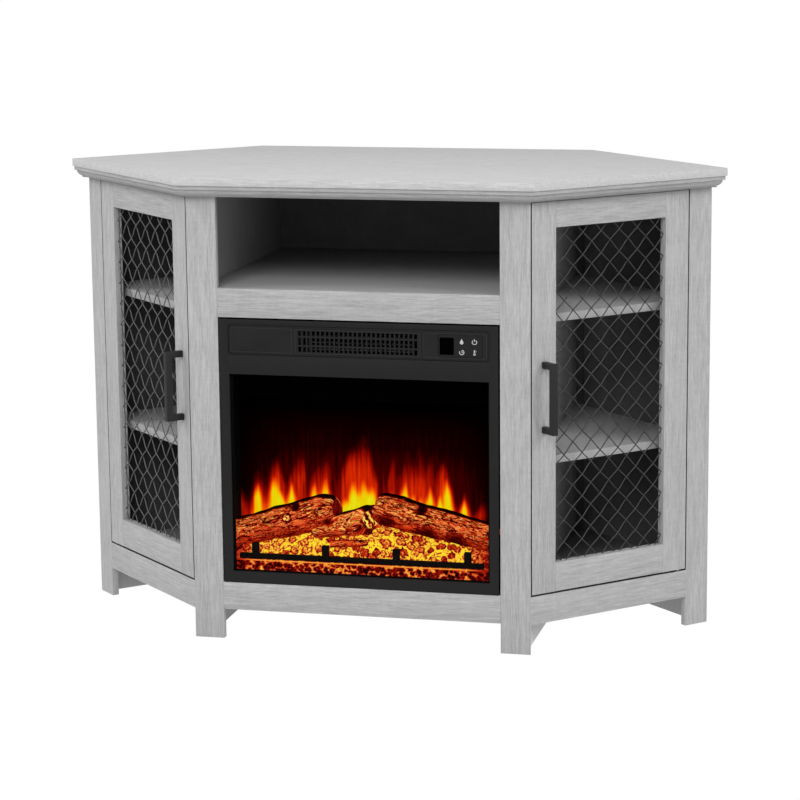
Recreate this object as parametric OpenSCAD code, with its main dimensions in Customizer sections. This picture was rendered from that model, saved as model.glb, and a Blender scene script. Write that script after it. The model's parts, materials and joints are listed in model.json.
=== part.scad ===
// Corner media cabinet with an electric fireplace insert.
// Millimetres, +Z up, front towards -Y. The origin is on the floor, at the middle of
// the overall plan. Each side face stands at 45 degrees to the front and carries an
// inset door with a woven wire panel, hung on pivot pins beside the outer post.

/* [Cabinet] */
// Overall height, floor to top
height = 800; // [740:1:880]
// Width of the front face, between the outer arrises of the front posts
front_w = 590; // [530:1:650]
// Length of each 45 degree side face, from front post to tip
side_w = 374.5; // [340:0.5:420]
// How far each rear corner of the carcass stands outside the front arris on its side
back_step = 11.6; // [9:0.1:60]
// Thickness of the posts, rails, aprons and upright panels
board = 12; // [10:0.5:14]
// Thickness of the hardboard back
back_t = 3; // [2:0.5:5]
// Width of each front post
front_post_w = 52; // [40:1:58]
// Width of each outer post
outer_post_w = 47.4; // [40:0.1:56]
// Clear height under the aprons
leg_h = 52; // [30:1:75]
// Height of the aprons
apron_h = 48.4; // [36:0.1:60]
// Height of the rail between the media bay and the fireplace
middle_rail_h = 49.2; // [30:0.1:70]
// Distance of each divider's outer face inside the front arris beside it
divider_inset = 10; // [9.6:0.1:14]
// Radius of the cable hole in the right-hand corner of the media bay's back
cable_hole_r = 25; // [15:1:35]
// Space between the cable hole and the shelf and divider beside it
cable_hole_gap = 15; // [8:1:40]
// Margin between the rear opening behind the fireplace and the insert's body
rear_opening_margin = 18; // [10:1:40]

/* [Top] */
// Thickness of the top panel
top_t = 13.5; // [10:0.5:20]
// Overhang of the top past the front and door faces
top_overhang = 25.8; // [22:0.1:32]
// Overhang of the top past the wall faces and the back
rear_overhang = 12.8; // [9:0.1:20]
// Height of the cornice's upper band
band_h = 6.8; // [4:0.1:10]
// Set-back of the band from the edge of the top
band_inset = 2.5; // [1:0.1:5]
// Radius of the cornice's quarter round
ovolo_r = 11.2; // [7:0.1:13]
// Set-back of the quarter round from the band
ovolo_inset = 3.3; // [1:0.1:5]
// Height of the small step under the quarter round
quirk_h = 1.9; // [1:0.1:4]
// Set-back of that step
quirk_inset = 1.5; // [0.5:0.1:3]
// Width of the cornice boards on plan
cornice_w = 60; // [50:1:90]

/* [Doors] */
// Thickness of the door frames
door_t = 15; // [13:0.5:16]
// Width of the door stiles
stile_w = 48.1; // [40:0.1:60]
// Height of the top door rail
top_rail_h = 43.5; // [35:0.1:60]
// Height of the bottom door rail
bottom_rail_h = 49.8; // [35:0.1:60]
// Gap down each long edge of a door
door_gap = 2.2; // [1.9:0.1:4]
// Gap over a door
door_gap_top = 2.1; // [1.5:0.1:4]
// Gap under a door
door_gap_bottom = 3.1; // [2:0.1:5]
// Depth of the door frame's lip in front of the wire
door_lip = 9.8; // [7:0.1:11]
// Width of the rebate that holds the wire
rebate_w = 8; // [5:0.5:12]
// Diameter of the mesh wire
wire_d = 2; // [1.5:0.1:3]
// Spacing of the wires, square to them
wire_pitch = 26.42; // [18:0.01:40]
// Distance of each pivot from the door's hinge edge
pivot_inset = 12; // [11:0.5:16]
// Distance of each pivot behind the door's face
pivot_depth = 7; // [6:0.1:7.4]
// Radius of the pivot pins
pivot_r = 2.5; // [2:0.1:3]
// Wall of the pivot bushes
bush_wall = 1.95; // [1.2:0.05:2.5]
// Height of the pivot bushes
bush_h = 13; // [8:0.5:20]
// Running clearance round pins and shafts
running_gap = 0.05; // [0.02:0.01:0.1]

/* [Handles] */
// Overall height of a handle
handle_h = 120.1; // [90:0.1:160]
// Width of the handle's bar, along the door
handle_w = 9.5; // [7:0.1:14]
// How far the handle stands out from the door
handle_reach = 32.6; // [25:0.1:45]
// Depth of the handle's bar
handle_bar = 11.7; // [8:0.1:14]
// Height of the handle's feet
handle_foot = 10.7; // [9.5:0.1:16]
// Distance of the handle's middle from the door's free edge
handle_inset = 24.8; // [18:0.1:30]
// Height of the handle's middle above the floor
handle_z = 439.3; // [300:0.1:600]
// Radius of the handle screws
screw_r = 2; // [1.5:0.1:2.5]

/* [Shelves] */
// Thickness of the shelves
shelf_t = 14; // [10:0.5:18]
// Height of the lower shelf's top
lower_shelf_z = 332.5; // [260:0.5:400]
// Height of the upper shelf's top
upper_shelf_z = 573.5; // [480:0.5:660]
// Distance of the shelves' front edge behind the door face
shelf_setback = 24; // [22:0.5:50]
// Play between a shelf and the panels round it
shelf_gap = 1; // [0.5:0.1:2]
// Radius of the shelf pins
shelf_pin_r = 2.5; // [2:0.1:3.5]
// Length of the shelf pins
shelf_pin_l = 16; // [12:0.5:20]

/* [Fireplace insert] */
// Gap between the insert's trim and the opening, at the sides and top
insert_gap = 2.5; // [1:0.1:5]
// Height of the opening for the insert
insert_opening_h = 461.6; // [430:0.1:490]
// Depth of the insert's metal body, behind its trim
insert_d = 150; // [135:1:180]
// Sheet thickness of the insert's body
sheet = 1.2; // [0.8:0.1:2]
// Width of the trim beside the window
trim_side = 16; // [12:0.5:24]
// Height of the trim under the window
trim_foot = 20; // [14:0.5:26]
// Height of the trim over the fascia strip
trim_head = 9.6; // [7:0.1:16]
// Thickness of the trim's lip in front of the glass
trim_lip = 5; // [3:0.5:7]
// Thickness of the glass
glass_t = 4; // [3:0.5:5]
// How far the glass and fascia lap behind their openings
glass_lap = 3.8; // [2:0.1:5]
// Height of the fascia strip over the window
fascia_h = 51.5; // [50:0.5:56]
// Gap between the window and the fascia strip
fascia_gap = 33.5; // [28:0.5:38]
// Set-back of the fascia's face behind the trim
fascia_inset = 1.5; // [0.5:0.1:2.5]
// Space between the warm-air grille and the touch panel
grille_gap = 29.5; // [24:0.5:45]
// Height of the warm-air grille
grille_h = 42.4; // [38:0.1:43]
// Width of the touch panel
panel_w = 76; // [70:0.5:80]
// Height of the touch panel
panel_h = 39; // [34:0.5:44]
// Distance of the touch panel's middle from the right end of the fascia
panel_end = 50; // [47:0.5:58]
// Play round the small parts of the fascia
fit_gap = 0.3; // [0.2:0.1:0.5]
// Radius of the blower wheel
wheel_r = 20; // [16:0.5:22]
// Radius of the flame rotor over its vanes
rotor_r = 20; // [14:0.5:20]

/* [Hidden] */
$fn = 48;

root_half = sqrt(0.5);
root_two = sqrt(2);
half_w = front_w / 2;
carcass_d = side_w * root_two - back_step;
centre_y = (carcass_d + rear_overhang - top_overhang) / 2;

cornice_h = band_h + ovolo_r + quirk_h;
top_z = height - top_t;
cornice_z = top_z - cornice_h;
floor_z = leg_h + apron_h;
rail_z = floor_z + insert_opening_h;
bay_z = rail_z + middle_rail_h;
back_in = carcass_d - back_t;
post_in = half_w - front_post_w;
divider_x = half_w - divider_inset;
bay_half = divider_x - board;
outer_post_s = side_w - outer_post_w;
wall_s = side_w - board;
wall_end = back_in * root_two - side_w;

door_s0 = door_gap;
door_s1 = outer_post_s - door_gap;
door_z0 = floor_z + door_gap_bottom;
door_z1 = cornice_z - door_gap_top;
pivot_s = door_s1 - pivot_inset;
bush_r = pivot_r + running_gap + bush_wall;
open_s0 = door_s0 + stile_w;
open_s1 = door_s1 - stile_w;
open_z0 = door_z0 + bottom_rail_h;
open_z1 = door_z1 - top_rail_h;
pin_in_board = 15;
pin_end_gap = 0.2;
catch_w = 46;
catch_t = 14;
catch_h = 14;
catch_s = open_s0 + 3;
strike_t = 1;
strike_gap = 0.3;
screw_head_r = 2 * screw_r;
screw_head_h = 2.2;
screw_bite = 9;
cam_r = 7.5;
cam_h = 9;
cam_setback = 34;

trim_half = post_in - insert_gap;
trim_top = rail_z - insert_gap;
trim_t = trim_lip + glass_t;
window_half = trim_half - trim_side;
window_z0 = floor_z + trim_foot;
fascia_z1 = trim_top - trim_head;
fascia_z0 = fascia_z1 - fascia_h;
window_z1 = fascia_z0 - fascia_gap;
fascia_half = window_half + 1;
panel_x = fascia_half - panel_end;
grille_w = 2 * (panel_x - panel_w / 2 - grille_gap);
fascia_mid = (fascia_z0 + fascia_z1) / 2;
body_half = trim_half - 7.5;
body_top = trim_top - 1.5;
body_back = trim_t + insert_d;
chamber_z = window_z1 + 15;
flange_lap = 3.5;
inner_y = trim_t + sheet;
inner_z = floor_z + sheet;
slot_pitch = 8;
slot_w = 5.2;
grille_border = 3;
grille_bar = 3;
grille_t = 4.5;
grille_rim = 1.6;
grille_rim_t = 1.2;
grille_proud = 0.7;
row_share = [0.3, 0.42, 0.28];
inlet_x = 33 - body_half;
inlet_z = floor_z + 30;
inlet_w = 28;
inlet_h = 22;
inlet_d = 20;
inlet_lip = 4;
inlet_wall = 2;
inlet_floor = 3;
vent_w = 6;
vent_h = 45;
vent_side = 60;
vent_pitch = (body_half - vent_side) / 9.6;
bracket_y = inner_y + 50;
bracket_w = 32;
bracket_h = 30;
bracket_leg = 22;
bracket_t = 1.5;
bed_back = 69;
screen_y = inner_y + bed_back + 1;
screen_t = 3;
rotor_back = 96;
rotor_up = 68;
rotor_y = inner_y + rotor_back;
rotor_z = inner_z + rotor_up;
shaft_r = 2.5;
rotor_shaft_r = 3;
rotor_motor_l = 19;
shaft_in_motor = 10;
bearing_l = 12;
bearing_wall = 5;
vane_t = 0.8;
vane_gap = 10;
led_half = body_half - 43;
led_y = bed_back + 16;
led_w = 20;
led_r = 2.5;
led_h = 5;
circuit_t = 1.6;
duct_wall = 1.2;
duct_r = wheel_r + 6;
duct_foot = 10;
casing_wall = 1.5;
blade_w = 5.5;
blade_t = 1;
disc_t = 2;
wheel_l = grille_w - 26;
wheel_back = 85;
wheel_y = inner_y + wheel_back;
wheel_z = (chamber_z + body_top) / 2 - 1;
duct_front = inner_y + 12;
casing_half = wheel_l / 2 + 5;
blower_motor_l = 29;
heater_d = 18;
heater_setback = 4;
heater_rod_r = 2;
heater_pitch = 12;
chip_w = 18;
chip_h = 14;
chip_d = 15;
chip_gap = 6;
terminal_w = 12;
grate_bar = 9;
grate_post = 11.5;
grate_up = 19;
grate_end = 17.5;
grate_shift = -2.5;
bed_half = body_half - sheet - fit_gap;
bed_front = 1;
ledge_z = 39;
mound_x = [-105, 65];

// Logs: [start, end, start radius, end radius], from the inside front corner of the body.
// The first two run into the side walls and are cut off there.
LOGS = [
  [[-bed_half - 5, 39, 74], [-60, 39, 124], 26, 28.5],
  [[bed_half + 5, 39, 84], [22, 39, 132], 24, 27],
  [[-95, 52, 56], [2, 28, 112], 20, 24]];
// Sections of the ember bed and of the heap in its middle, as [y, z] from the same corner
BED = [[bed_front, 0], [bed_front, ledge_z], [bed_front + grate_bar + 2, ledge_z],
  [25, 61], [46, 83], [bed_back, 83], [bed_back, 0]];
MOUND = [[14, ledge_z], [22, 72], [34, 92], [46, 99], [bed_back, 99], [bed_back, ledge_z]];

wood = "#B9B9B8";
wood_top = "#CFCFCE";
black_metal = "#2B2B2C";
steel = "#8E9194";
plastic = "#262627";

// Point on plan from the distance s along a side face and d behind it
function on_side(s, d) = [half_w + (s - d) * root_half, (s + d) * root_half];

// Outline of the plan with an overhang o past front and doors and w past walls and back
function plan_right(o, w) = [
  [half_w + o * (root_two - 1), -o],
  on_side(side_w + w, -o),
  [half_w + (side_w + w) * root_two - carcass_d - w, carcass_d + w]];
function plan(o, w) = let (r = plan_right(o, w)) [
  [-r[0].x, r[0].y], r[0], r[1], r[2], [-r[2].x, r[2].y], [-r[1].x, r[1].y]];

// Plan of a side bay, inset by c from its panels, with its front edge d behind the door face
function bay_plan(c, d) = [
  [divider_x + c, d * root_two + divider_x + c - half_w],
  on_side(wall_s - c, d),
  on_side(wall_s - c, wall_end - c),
  [on_side(wall_s - c, wall_end - c).x, back_in - c],
  [divider_x + c, back_in - c]];

module place() translate([0, -centre_y, 0]) children();

module slab(from, to) translate(from) cube(to - from);

module side_frame(side) place()
  mirror([side < 0 ? 1 : 0, 0, 0])
    translate([half_w, 0, 0]) rotate([0, 0, 45]) children();

module rod_x(x0, x1, y, z, r)
  translate([x0, y, z]) rotate([0, 90, 0]) cylinder(h = x1 - x0, r = r);

module mirrored(side) place() mirror([side < 0 ? 1 : 0, 0, 0]) children();

// --- Top ---------------------------------------------------------------

module top_panel() color(wood_top) place()
  translate([0, 0, top_z]) linear_extrude(top_t)
    polygon(plan(top_overhang, rear_overhang));

// The waste cut from the edge of a cornice board, y inwards from the band and z up, as far
// in as the face of the carcass below it
module cornice_waste(length, reach) {
  round_y = ovolo_inset + ovolo_r;
  round_z = quirk_h + ovolo_r;
  rotate([90, 0, 90]) translate([0, 0, -length]) linear_extrude(3 * length) intersection() {
    translate([-1, -1]) square([1 + reach, cornice_h]);
    union() {
      translate([-1, -1]) square([1 + ovolo_inset, round_z + 1]);
      translate([-1, -1]) square([1 + round_y + quirk_inset, quirk_h + 1]);
      difference() {
        translate([0, quirk_h]) square([round_y, ovolo_r]);
        translate([round_y, round_z]) circle(ovolo_r);
      }
    }
  }
}

// Mitred board along edge i of the plan, moulded as far in as reach
module cornice_board(i, reach) {
  outer = plan(top_overhang - band_inset, rear_overhang - band_inset);
  inner = plan(top_overhang - band_inset - cornice_w, rear_overhang - band_inset - cornice_w);
  j = (i + 1) % 6;
  run = outer[j] - outer[i];
  place() translate([0, 0, cornice_z]) difference() {
    linear_extrude(cornice_h) polygon([outer[i], outer[j], inner[j], inner[i]]);
    if (reach > 0) translate([outer[i].x, outer[i].y, 0])
      rotate([0, 0, atan2(run.y, run.x)]) cornice_waste(norm(run), reach);
  }
}

module side_cornice(side) difference() {
  cornice_board(side > 0 ? 1 : 5, top_overhang - band_inset);
  side_frame(side) translate([pivot_s, pivot_depth, cornice_z - 1])
    cylinder(h = pin_in_board + 1, r = pivot_r);
}

module front_cornice() color(wood) cornice_board(0, top_overhang - band_inset);
module left_cornice() color(wood) side_cornice(-1);
module right_cornice() color(wood) side_cornice(1);
module rear_cornice() color(wood) {
  cornice_board(2, rear_overhang - band_inset);
  cornice_board(3, 0);
  cornice_board(4, rear_overhang - band_inset);
}

// --- Carcass -----------------------------------------------------------

module front_post_plan()
  polygon([[post_in, 0], [half_w, 0], [half_w - board, board], [post_in, board]]);

module front_post(side) color(wood) mirrored(side)
  linear_extrude(cornice_z) front_post_plan();

module left_front_post() front_post(-1);
module right_front_post() front_post(1);

module outer_posts() color(wood) for (side = [-1, 1]) side_frame(side)
  slab([outer_post_s, 0, 0], [side_w, board, cornice_z]);

shelf_levels = [lower_shelf_z - shelf_t, upper_shelf_z - shelf_t];
divider_pin_front = 120;
divider_pin_back = 110;
wall_pin_front = 60;
wall_pin_back = 70;
divider_pin_y = [divider_pin_front, carcass_d - divider_pin_back];
wall_pin_d = [wall_pin_front, wall_end - wall_pin_back];

module divider_pins(extra) for (z = shelf_levels, y = divider_pin_y)
  rod_x(divider_x - shelf_pin_l / 2, divider_x + shelf_pin_l / 2 + extra,
    y, z - shelf_pin_r, shelf_pin_r);

module wall_pins(extra) for (z = shelf_levels, d = wall_pin_d)
  rod_x(wall_s - shelf_pin_l / 2 - extra, wall_s + shelf_pin_l / 2,
    d, z - shelf_pin_r, shelf_pin_r);

module divider(side) color(wood) mirrored(side) difference() {
  slab([bay_half, board, 0], [divider_x, back_in, cornice_z]);
  divider_pins(1);
}

module left_divider() divider(-1);
module right_divider() divider(1);

module wall_panel(side) color(wood) side_frame(side) difference() {
  slab([wall_s, board, 0], [side_w, wall_end, cornice_z]);
  wall_pins(1);
}

module left_wall_panel() wall_panel(-1);
module right_wall_panel() wall_panel(1);

back_half = on_side(side_w, wall_end).x;
cable_hole_x = bay_half - cable_hole_r - cable_hole_gap;
cable_hole_z = bay_z + cable_hole_r + cable_hole_gap;

module back_panel() color("#3A3A3B") place() difference() {
  slab([-back_half, back_in, leg_h], [back_half, carcass_d, cornice_z]);
  translate([cable_hole_x, back_in - 1, cable_hole_z]) rotate([-90, 0, 0])
    cylinder(h = back_t + 2, r = cable_hole_r);
  slab([rear_opening_margin - body_half, back_in - 1, floor_z + rear_opening_margin],
    [body_half - rear_opening_margin, carcass_d + 1, body_top - rear_opening_margin]);
}

// Blind bores for the cam discs in the underside of a board whose underside is at z
module cam_bores(z) for (x = [cam_setback - bay_half, bay_half - cam_setback],
    y = [board + cam_setback, back_in - cam_setback])
  translate([x, y, z - 1]) cylinder(h = cam_h + 1, r = cam_r);

module centre_bottom() color(wood) place() difference() {
  slab([-bay_half, board, floor_z - board], [bay_half, back_in, floor_z]);
  cam_bores(floor_z - board);
}

module side_bottoms() color(wood) for (side = [-1, 1]) mirrored(side)
  translate([0, 0, floor_z - board]) linear_extrude(board) difference() {
    polygon(bay_plan(0, board));
    front_post_plan();
  }

module media_shelf() color(wood) place() difference() {
  slab([-bay_half, board, bay_z - board], [bay_half, back_in, bay_z]);
  cam_bores(bay_z - board);
}

module middle_rail() color(wood) place()
  slab([-post_in, 0, rail_z], [post_in, board, bay_z]);

module front_apron() color(wood) place()
  slab([-post_in, 0, leg_h], [post_in, board, floor_z]);

module side_aprons() color(wood) for (side = [-1, 1]) side_frame(side) difference() {
  slab([0, 0, leg_h], [outer_post_s, board, floor_z]);
  translate([pivot_s, pivot_depth, floor_z - pin_in_board])
    cylinder(h = pin_in_board + 1, r = pivot_r);
}

module shelves(side) color(wood) for (z = shelf_levels) mirrored(side)
  translate([0, 0, z]) linear_extrude(shelf_t)
    polygon(bay_plan(shelf_gap, shelf_setback));

module left_shelves() shelves(-1);
module right_shelves() shelves(1);

module shelf_pins() color(steel) for (side = [-1, 1]) {
  mirrored(side) divider_pins(0);
  side_frame(side) wall_pins(0);
}

// Cam discs with a screwdriver slot
module cam_locks() color(steel) place()
  for (z = [floor_z - board, bay_z - board],
      x = [cam_setback - bay_half, bay_half - cam_setback],
      y = [board + cam_setback, back_in - cam_setback])
    translate([x, y, z]) difference() {
      cylinder(h = cam_h, r = cam_r);
      translate([-cam_r * 0.6, -1, -1]) cube([cam_r * 1.2, 2, 3]);
    }

// Pins on which each door turns, with the washer that carries or locates the door
module hinge_pins() color(steel) for (side = [-1, 1]) side_frame(side) {
  translate([pivot_s, pivot_depth, 0]) {
    translate([0, 0, floor_z - pin_in_board])
      cylinder(h = pin_in_board + door_gap_bottom + bush_h - 2, r = pivot_r);
    translate([0, 0, floor_z]) cylinder(h = door_gap_bottom - pin_end_gap, r = bush_r);
    translate([0, 0, door_z1 - bush_h + 2])
      cylinder(h = bush_h - 2 + door_gap_top + pin_in_board, r = pivot_r);
    translate([0, 0, door_z1 + pin_end_gap])
      cylinder(h = door_gap_top - pin_end_gap, r = bush_r);
  }
}

module door_catches() color(plastic) for (side = [-1, 1]) side_frame(side)
  slab([catch_s, door_t + strike_t + strike_gap, cornice_z - catch_h],
    [catch_s + catch_w, door_t + strike_t + strike_gap + catch_t, cornice_z]);

// --- Doors, in the side face's own frame: x along it, y behind it ----------

module rebate() slab([open_s0 - rebate_w, door_lip, open_z0 - rebate_w],
  [open_s1 + rebate_w, door_t + 1, open_z1 + rebate_w]);

handle_s = door_s0 + handle_inset;
handle_screw_z = [handle_z - (handle_h - handle_foot) / 2, handle_z + (handle_h - handle_foot) / 2];

module door_stiles(side) color(wood) side_frame(side) difference() {
  union() {
    slab([door_s0, 0, door_z0], [open_s0, door_t, door_z1]);
    slab([open_s1, 0, door_z0], [door_s1, door_t, door_z1]);
  }
  rebate();
  for (z = [door_z0 - 1, door_z1 - bush_h]) translate([pivot_s, pivot_depth, z])
    cylinder(h = bush_h + 1, r = bush_r);
  for (z = handle_screw_z) translate([handle_s, -1, z]) rotate([-90, 0, 0])
    cylinder(h = door_t + 2, r = screw_r);
}

module door_rails(side) color(wood) side_frame(side) difference() {
  union() {
    slab([open_s0, 0, door_z0], [open_s1, door_t, open_z0]);
    slab([open_s0, 0, open_z1], [open_s1, door_t, door_z1]);
  }
  rebate();
}

// Woven wire at 45 degrees with a bound edge: square openings in a sheet as thick as the wire
module door_mesh(side) color("#2E2E2F") side_frame(side) {
  cell = wire_pitch * root_two;
  hole = (wire_pitch - wire_d) * root_half;
  edge = rebate_w - fit_gap;
  low = [open_s0 - edge, open_z0 - edge];
  size = [open_s1 - open_s0 + 2 * edge, open_z1 - open_z0 + 2 * edge];
  mid = low + size / 2;
  columns = ceil(size.x / cell / 2);
  rows = ceil(size.y / cell / 2);
  translate([0, door_lip + wire_d, 0]) rotate([90, 0, 0]) linear_extrude(wire_d) difference() {
    translate(low) square(size);
    intersection() {
      translate(low + [wire_d, wire_d]) square(size - 2 * [wire_d, wire_d]);
      for (i = [-columns:columns], j = [-rows:rows], k = [0, 0.5])
        translate(mid + [(i + k) * cell, (j + k) * cell])
          polygon([[hole, 0], [0, hole], [-hole, 0], [0, -hole]]);
    }
  }
}

module mesh_strips(side) color(wood) side_frame(side) {
  edge = rebate_w - fit_gap;
  y0 = door_lip + wire_d;
  for (s = [open_s0 - edge, open_s1])
    slab([s, y0, open_z0 - edge], [s + edge, door_t, open_z1 + edge]);
  for (z = [open_z0 - edge, open_z1])
    slab([open_s0, y0, z], [open_s1, door_t, z + edge]);
}

// D-shaped handle with a square bar and two square feet
module handle(side) color(black_metal) side_frame(side) difference() {
  translate([handle_s - handle_w / 2, -handle_reach, handle_z - handle_h / 2])
    difference() {
      cube([handle_w, handle_reach, handle_h]);
      translate([-1, handle_bar, handle_foot])
        cube([handle_w + 2, handle_reach, handle_h - 2 * handle_foot]);
    }
  for (z = handle_screw_z) translate([handle_s, -screw_bite, z]) rotate([-90, 0, 0])
    cylinder(h = screw_bite + 1, r = screw_r);
}

module pivot_bushes(side) color("#E8E6E0") side_frame(side)
  for (z = [door_z0, door_z1 - bush_h]) translate([pivot_s, pivot_depth, z]) difference() {
    cylinder(h = bush_h, r = bush_r);
    translate([0, 0, z == door_z0 ? -1 : 1]) cylinder(h = bush_h, r = pivot_r + running_gap);
  }

// Handle screws and the steel plate that meets the magnetic catch
module door_fixings(side) color(steel) side_frame(side) {
  for (z = handle_screw_z) translate([handle_s, 0, z]) rotate([-90, 0, 0]) {
    translate([0, 0, -screw_bite]) cylinder(h = screw_bite + door_t, r = screw_r);
    translate([0, 0, door_t]) cylinder(h = screw_head_h, r = screw_head_r);
  }
  slab([catch_s + 3, door_t, cornice_z - catch_h + 1],
    [catch_s + catch_w - 3, door_t + strike_t, door_z1 - 1]);
}

module left_door_stiles() door_stiles(-1);
module left_door_rails() door_rails(-1);
module left_door_mesh() door_mesh(-1);
module left_mesh_strips() mesh_strips(-1);
module left_handle() handle(-1);
module left_pivot_bushes() pivot_bushes(-1);
module left_door_fixings() door_fixings(-1);
module right_door_stiles() door_stiles(1);
module right_door_rails() door_rails(1);
module right_door_mesh() door_mesh(1);
module right_mesh_strips() mesh_strips(1);
module right_handle() handle(1);
module right_pivot_bushes() pivot_bushes(1);
module right_door_fixings() door_fixings(1);

// --- Fireplace insert: front parts ---------------------------------------

// A bar with rounded corners from y0 to y1, about (x, z)
module rounded_bar(x, z, w, h, r, y0, y1)
  translate([x, y1, z]) rotate([90, 0, 0]) linear_extrude(y1 - y0) union() {
    square([w - 2 * r, h], center = true);
    square([w, h - 2 * r], center = true);
    for (i = [-1, 1], j = [-1, 1]) translate([i * (w / 2 - r), j * (h / 2 - r)]) circle(r);
  }

fascia_corner = 6;
panel_corner = 5;

module insert_trim() color(plastic) place() difference() {
  slab([-trim_half, 0, floor_z], [trim_half, trim_t, trim_top]);
  slab([-window_half, -1, window_z0], [window_half, trim_t, window_z1]);
  slab([-window_half - glass_lap - fit_gap, trim_lip, window_z0 - glass_lap - fit_gap],
    [window_half + glass_lap + fit_gap, trim_t + 1, window_z1 + glass_lap + fit_gap]);
  rounded_bar(0, fascia_mid, 2 * fascia_half, fascia_h, fascia_corner, -1, trim_t + 1);
}

module glass_panel() color("#20202480") place()
  slab([-window_half - glass_lap, trim_lip, window_z0 - glass_lap],
    [window_half + glass_lap, trim_t, window_z1 + glass_lap]);

fascia_t = 2.5;
fascia_wall = 1.6;
panel_inset = 0.9;

// Fascia tray with its grille opening and the pocket for the touch panel
module control_fascia() color(plastic) place() difference() {
  rounded_bar(0, fascia_mid, 2 * (fascia_half - fit_gap), fascia_h - 2 * fit_gap,
    fascia_corner, fascia_inset, trim_t);
  rounded_bar(0, fascia_mid, 2 * (fascia_half - fit_gap - fascia_wall),
    fascia_h - 2 * (fit_gap + fascia_wall), fascia_corner - fascia_wall,
    fascia_inset + fascia_t, trim_t + 1);
  slab([-grille_w / 2, 0, fascia_mid - grille_h / 2],
    [grille_w / 2, trim_t + 1, fascia_mid + grille_h / 2]);
  rounded_bar(panel_x, fascia_mid, panel_w, panel_h, panel_corner,
    0, fascia_inset + panel_inset + 1);
}

module touch_panel() color("#1B1B1C") place()
  rounded_bar(panel_x, fascia_mid, panel_w - 2 * fit_gap, panel_h - 2 * fit_gap,
    panel_corner - fit_gap, fascia_inset + panel_inset, fascia_inset + panel_inset + 1);

// Outlet grille: rows of upright slots with two thin bars across them, and a rim that
// laps behind the fascia
module vent_grille() color(plastic) place() union() {
  w = grille_w - 2 * fit_gap;
  h = grille_h - 2 * fit_gap;
  inner_h = h - 2 * grille_border;
  columns = floor((w - 2 * grille_border) / slot_pitch);
  row_h = row_share * (inner_h - 2 * grille_bar);
  row_z = [0, row_h[0] + grille_bar, row_h[0] + row_h[1] + 2 * grille_bar];
  translate([0, fascia_inset - grille_proud + grille_t, fascia_mid]) rotate([90, 0, 0])
    linear_extrude(grille_t) difference() {
      square([w, h], center = true);
      for (c = [0:columns - 1], r = [0:2])
        translate([(c - (columns - 1) / 2) * slot_pitch - slot_w / 2, row_z[r] - inner_h / 2])
          square([slot_w, row_h[r]]);
    }
  translate([0, fascia_inset + fascia_t + grille_rim_t, fascia_mid]) rotate([90, 0, 0])
    linear_extrude(grille_rim_t) difference() {
      square([grille_w + 2 * grille_rim, grille_h + 2 * grille_rim], center = true);
      square([w - grille_border, h - grille_border], center = true);
    }
}

// --- Fireplace insert: body ------------------------------------------------

// Folded sheet body: a front flange, four walls, the shelf under the heater and the
// bearing of the flame rotor
module insert_housing() color(steel) place() difference() {
  union() {
    difference() {
      slab([-body_half, trim_t, floor_z], [body_half, body_back, body_top]);
      slab([sheet - body_half, inner_y, inner_z],
        [body_half - sheet, body_back + 1, chamber_z]);
      slab([sheet - body_half, inner_y, chamber_z + sheet],
        [body_half - sheet, body_back + 1, body_top - sheet]);
      slab([flange_lap - window_half, 0, window_z0 + 2],
        [window_half - flange_lap, inner_y + 1, window_z1 - 2]);
      slab([flange_lap - window_half, 0, fascia_z0 + 2],
        [window_half - flange_lap, inner_y + 1, fascia_z1 - 2]);
    }
    rod_x(body_half - sheet - bearing_l, body_half - sheet, rotor_y, rotor_z,
      rotor_shaft_r + bearing_wall);
  }
  rod_x(body_half - sheet - bearing_l - 1, body_half - sheet - 2, rotor_y, rotor_z,
    rotor_shaft_r + running_gap);
}

// Rear cover with its air intake slots and the cut-out for the inlet
module rear_cover() color(steel) place() difference() {
  slab([-body_half, body_back, floor_z], [body_half, body_back + sheet, body_top]);
  slab([inlet_x - inlet_w / 2, body_back - 1, inlet_z - inlet_h / 2],
    [inlet_x + inlet_w / 2, body_back + sheet + 1, inlet_z + inlet_h / 2]);
  for (i = [-9:9], z = [chamber_z + 12, rotor_z - 30])
    slab([i * vent_pitch - vent_w / 2, body_back - 1, z],
      [i * vent_pitch + vent_w / 2, body_back + sheet + 1, z + vent_h]);
}

// Socket for a detachable lead: flange outside, body inside, three flat pins
module power_inlet() color("#1E1E1F")
  place() translate([inlet_x, body_back + sheet, inlet_z]) {
    w = inlet_w / 2;
    h = inlet_h / 2;
    difference() {
      union() {
        slab([-w - inlet_lip, 0, -h - inlet_lip], [w + inlet_lip, inlet_wall, h + inlet_lip]);
        slab([-w, -inlet_d, -h], [w, 0, h]);
      }
      slab([inlet_wall - w, inlet_floor - inlet_d, inlet_wall - h],
        [w - inlet_wall, inlet_wall + 1, h - inlet_wall]);
    }
    for (p = [[-w / 2, -h * 0.27], [w / 2, -h * 0.27], [0, h * 0.36]])
      slab([p.x - 1, inlet_floor - inlet_d, p.y - 2], [p.x + 1, -inlet_floor, p.y + 2]);
  }

// Angle brackets that hold the insert down on the bottom board
module insert_brackets() color(steel) for (side = [-1, 1]) mirrored(side) union() {
  slab([body_half, bracket_y, floor_z],
    [body_half + bracket_t, bracket_y + bracket_w, floor_z + bracket_h]);
  slab([body_half, bracket_y, floor_z],
    [body_half + bracket_leg, bracket_y + bracket_w, floor_z + bracket_t]);
}

// --- Fireplace insert: fire bed ----------------------------------------------

module in_body() place() translate([0, inner_y, inner_z]) children();

module log_shape(l) {
  v = l[1] - l[0];
  translate(l[0]) rotate([0, acos(v.z / norm(v)), atan2(v.y, v.x)])
    cylinder(h = norm(v), r1 = l[2], r2 = l[3]);
}

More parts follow.
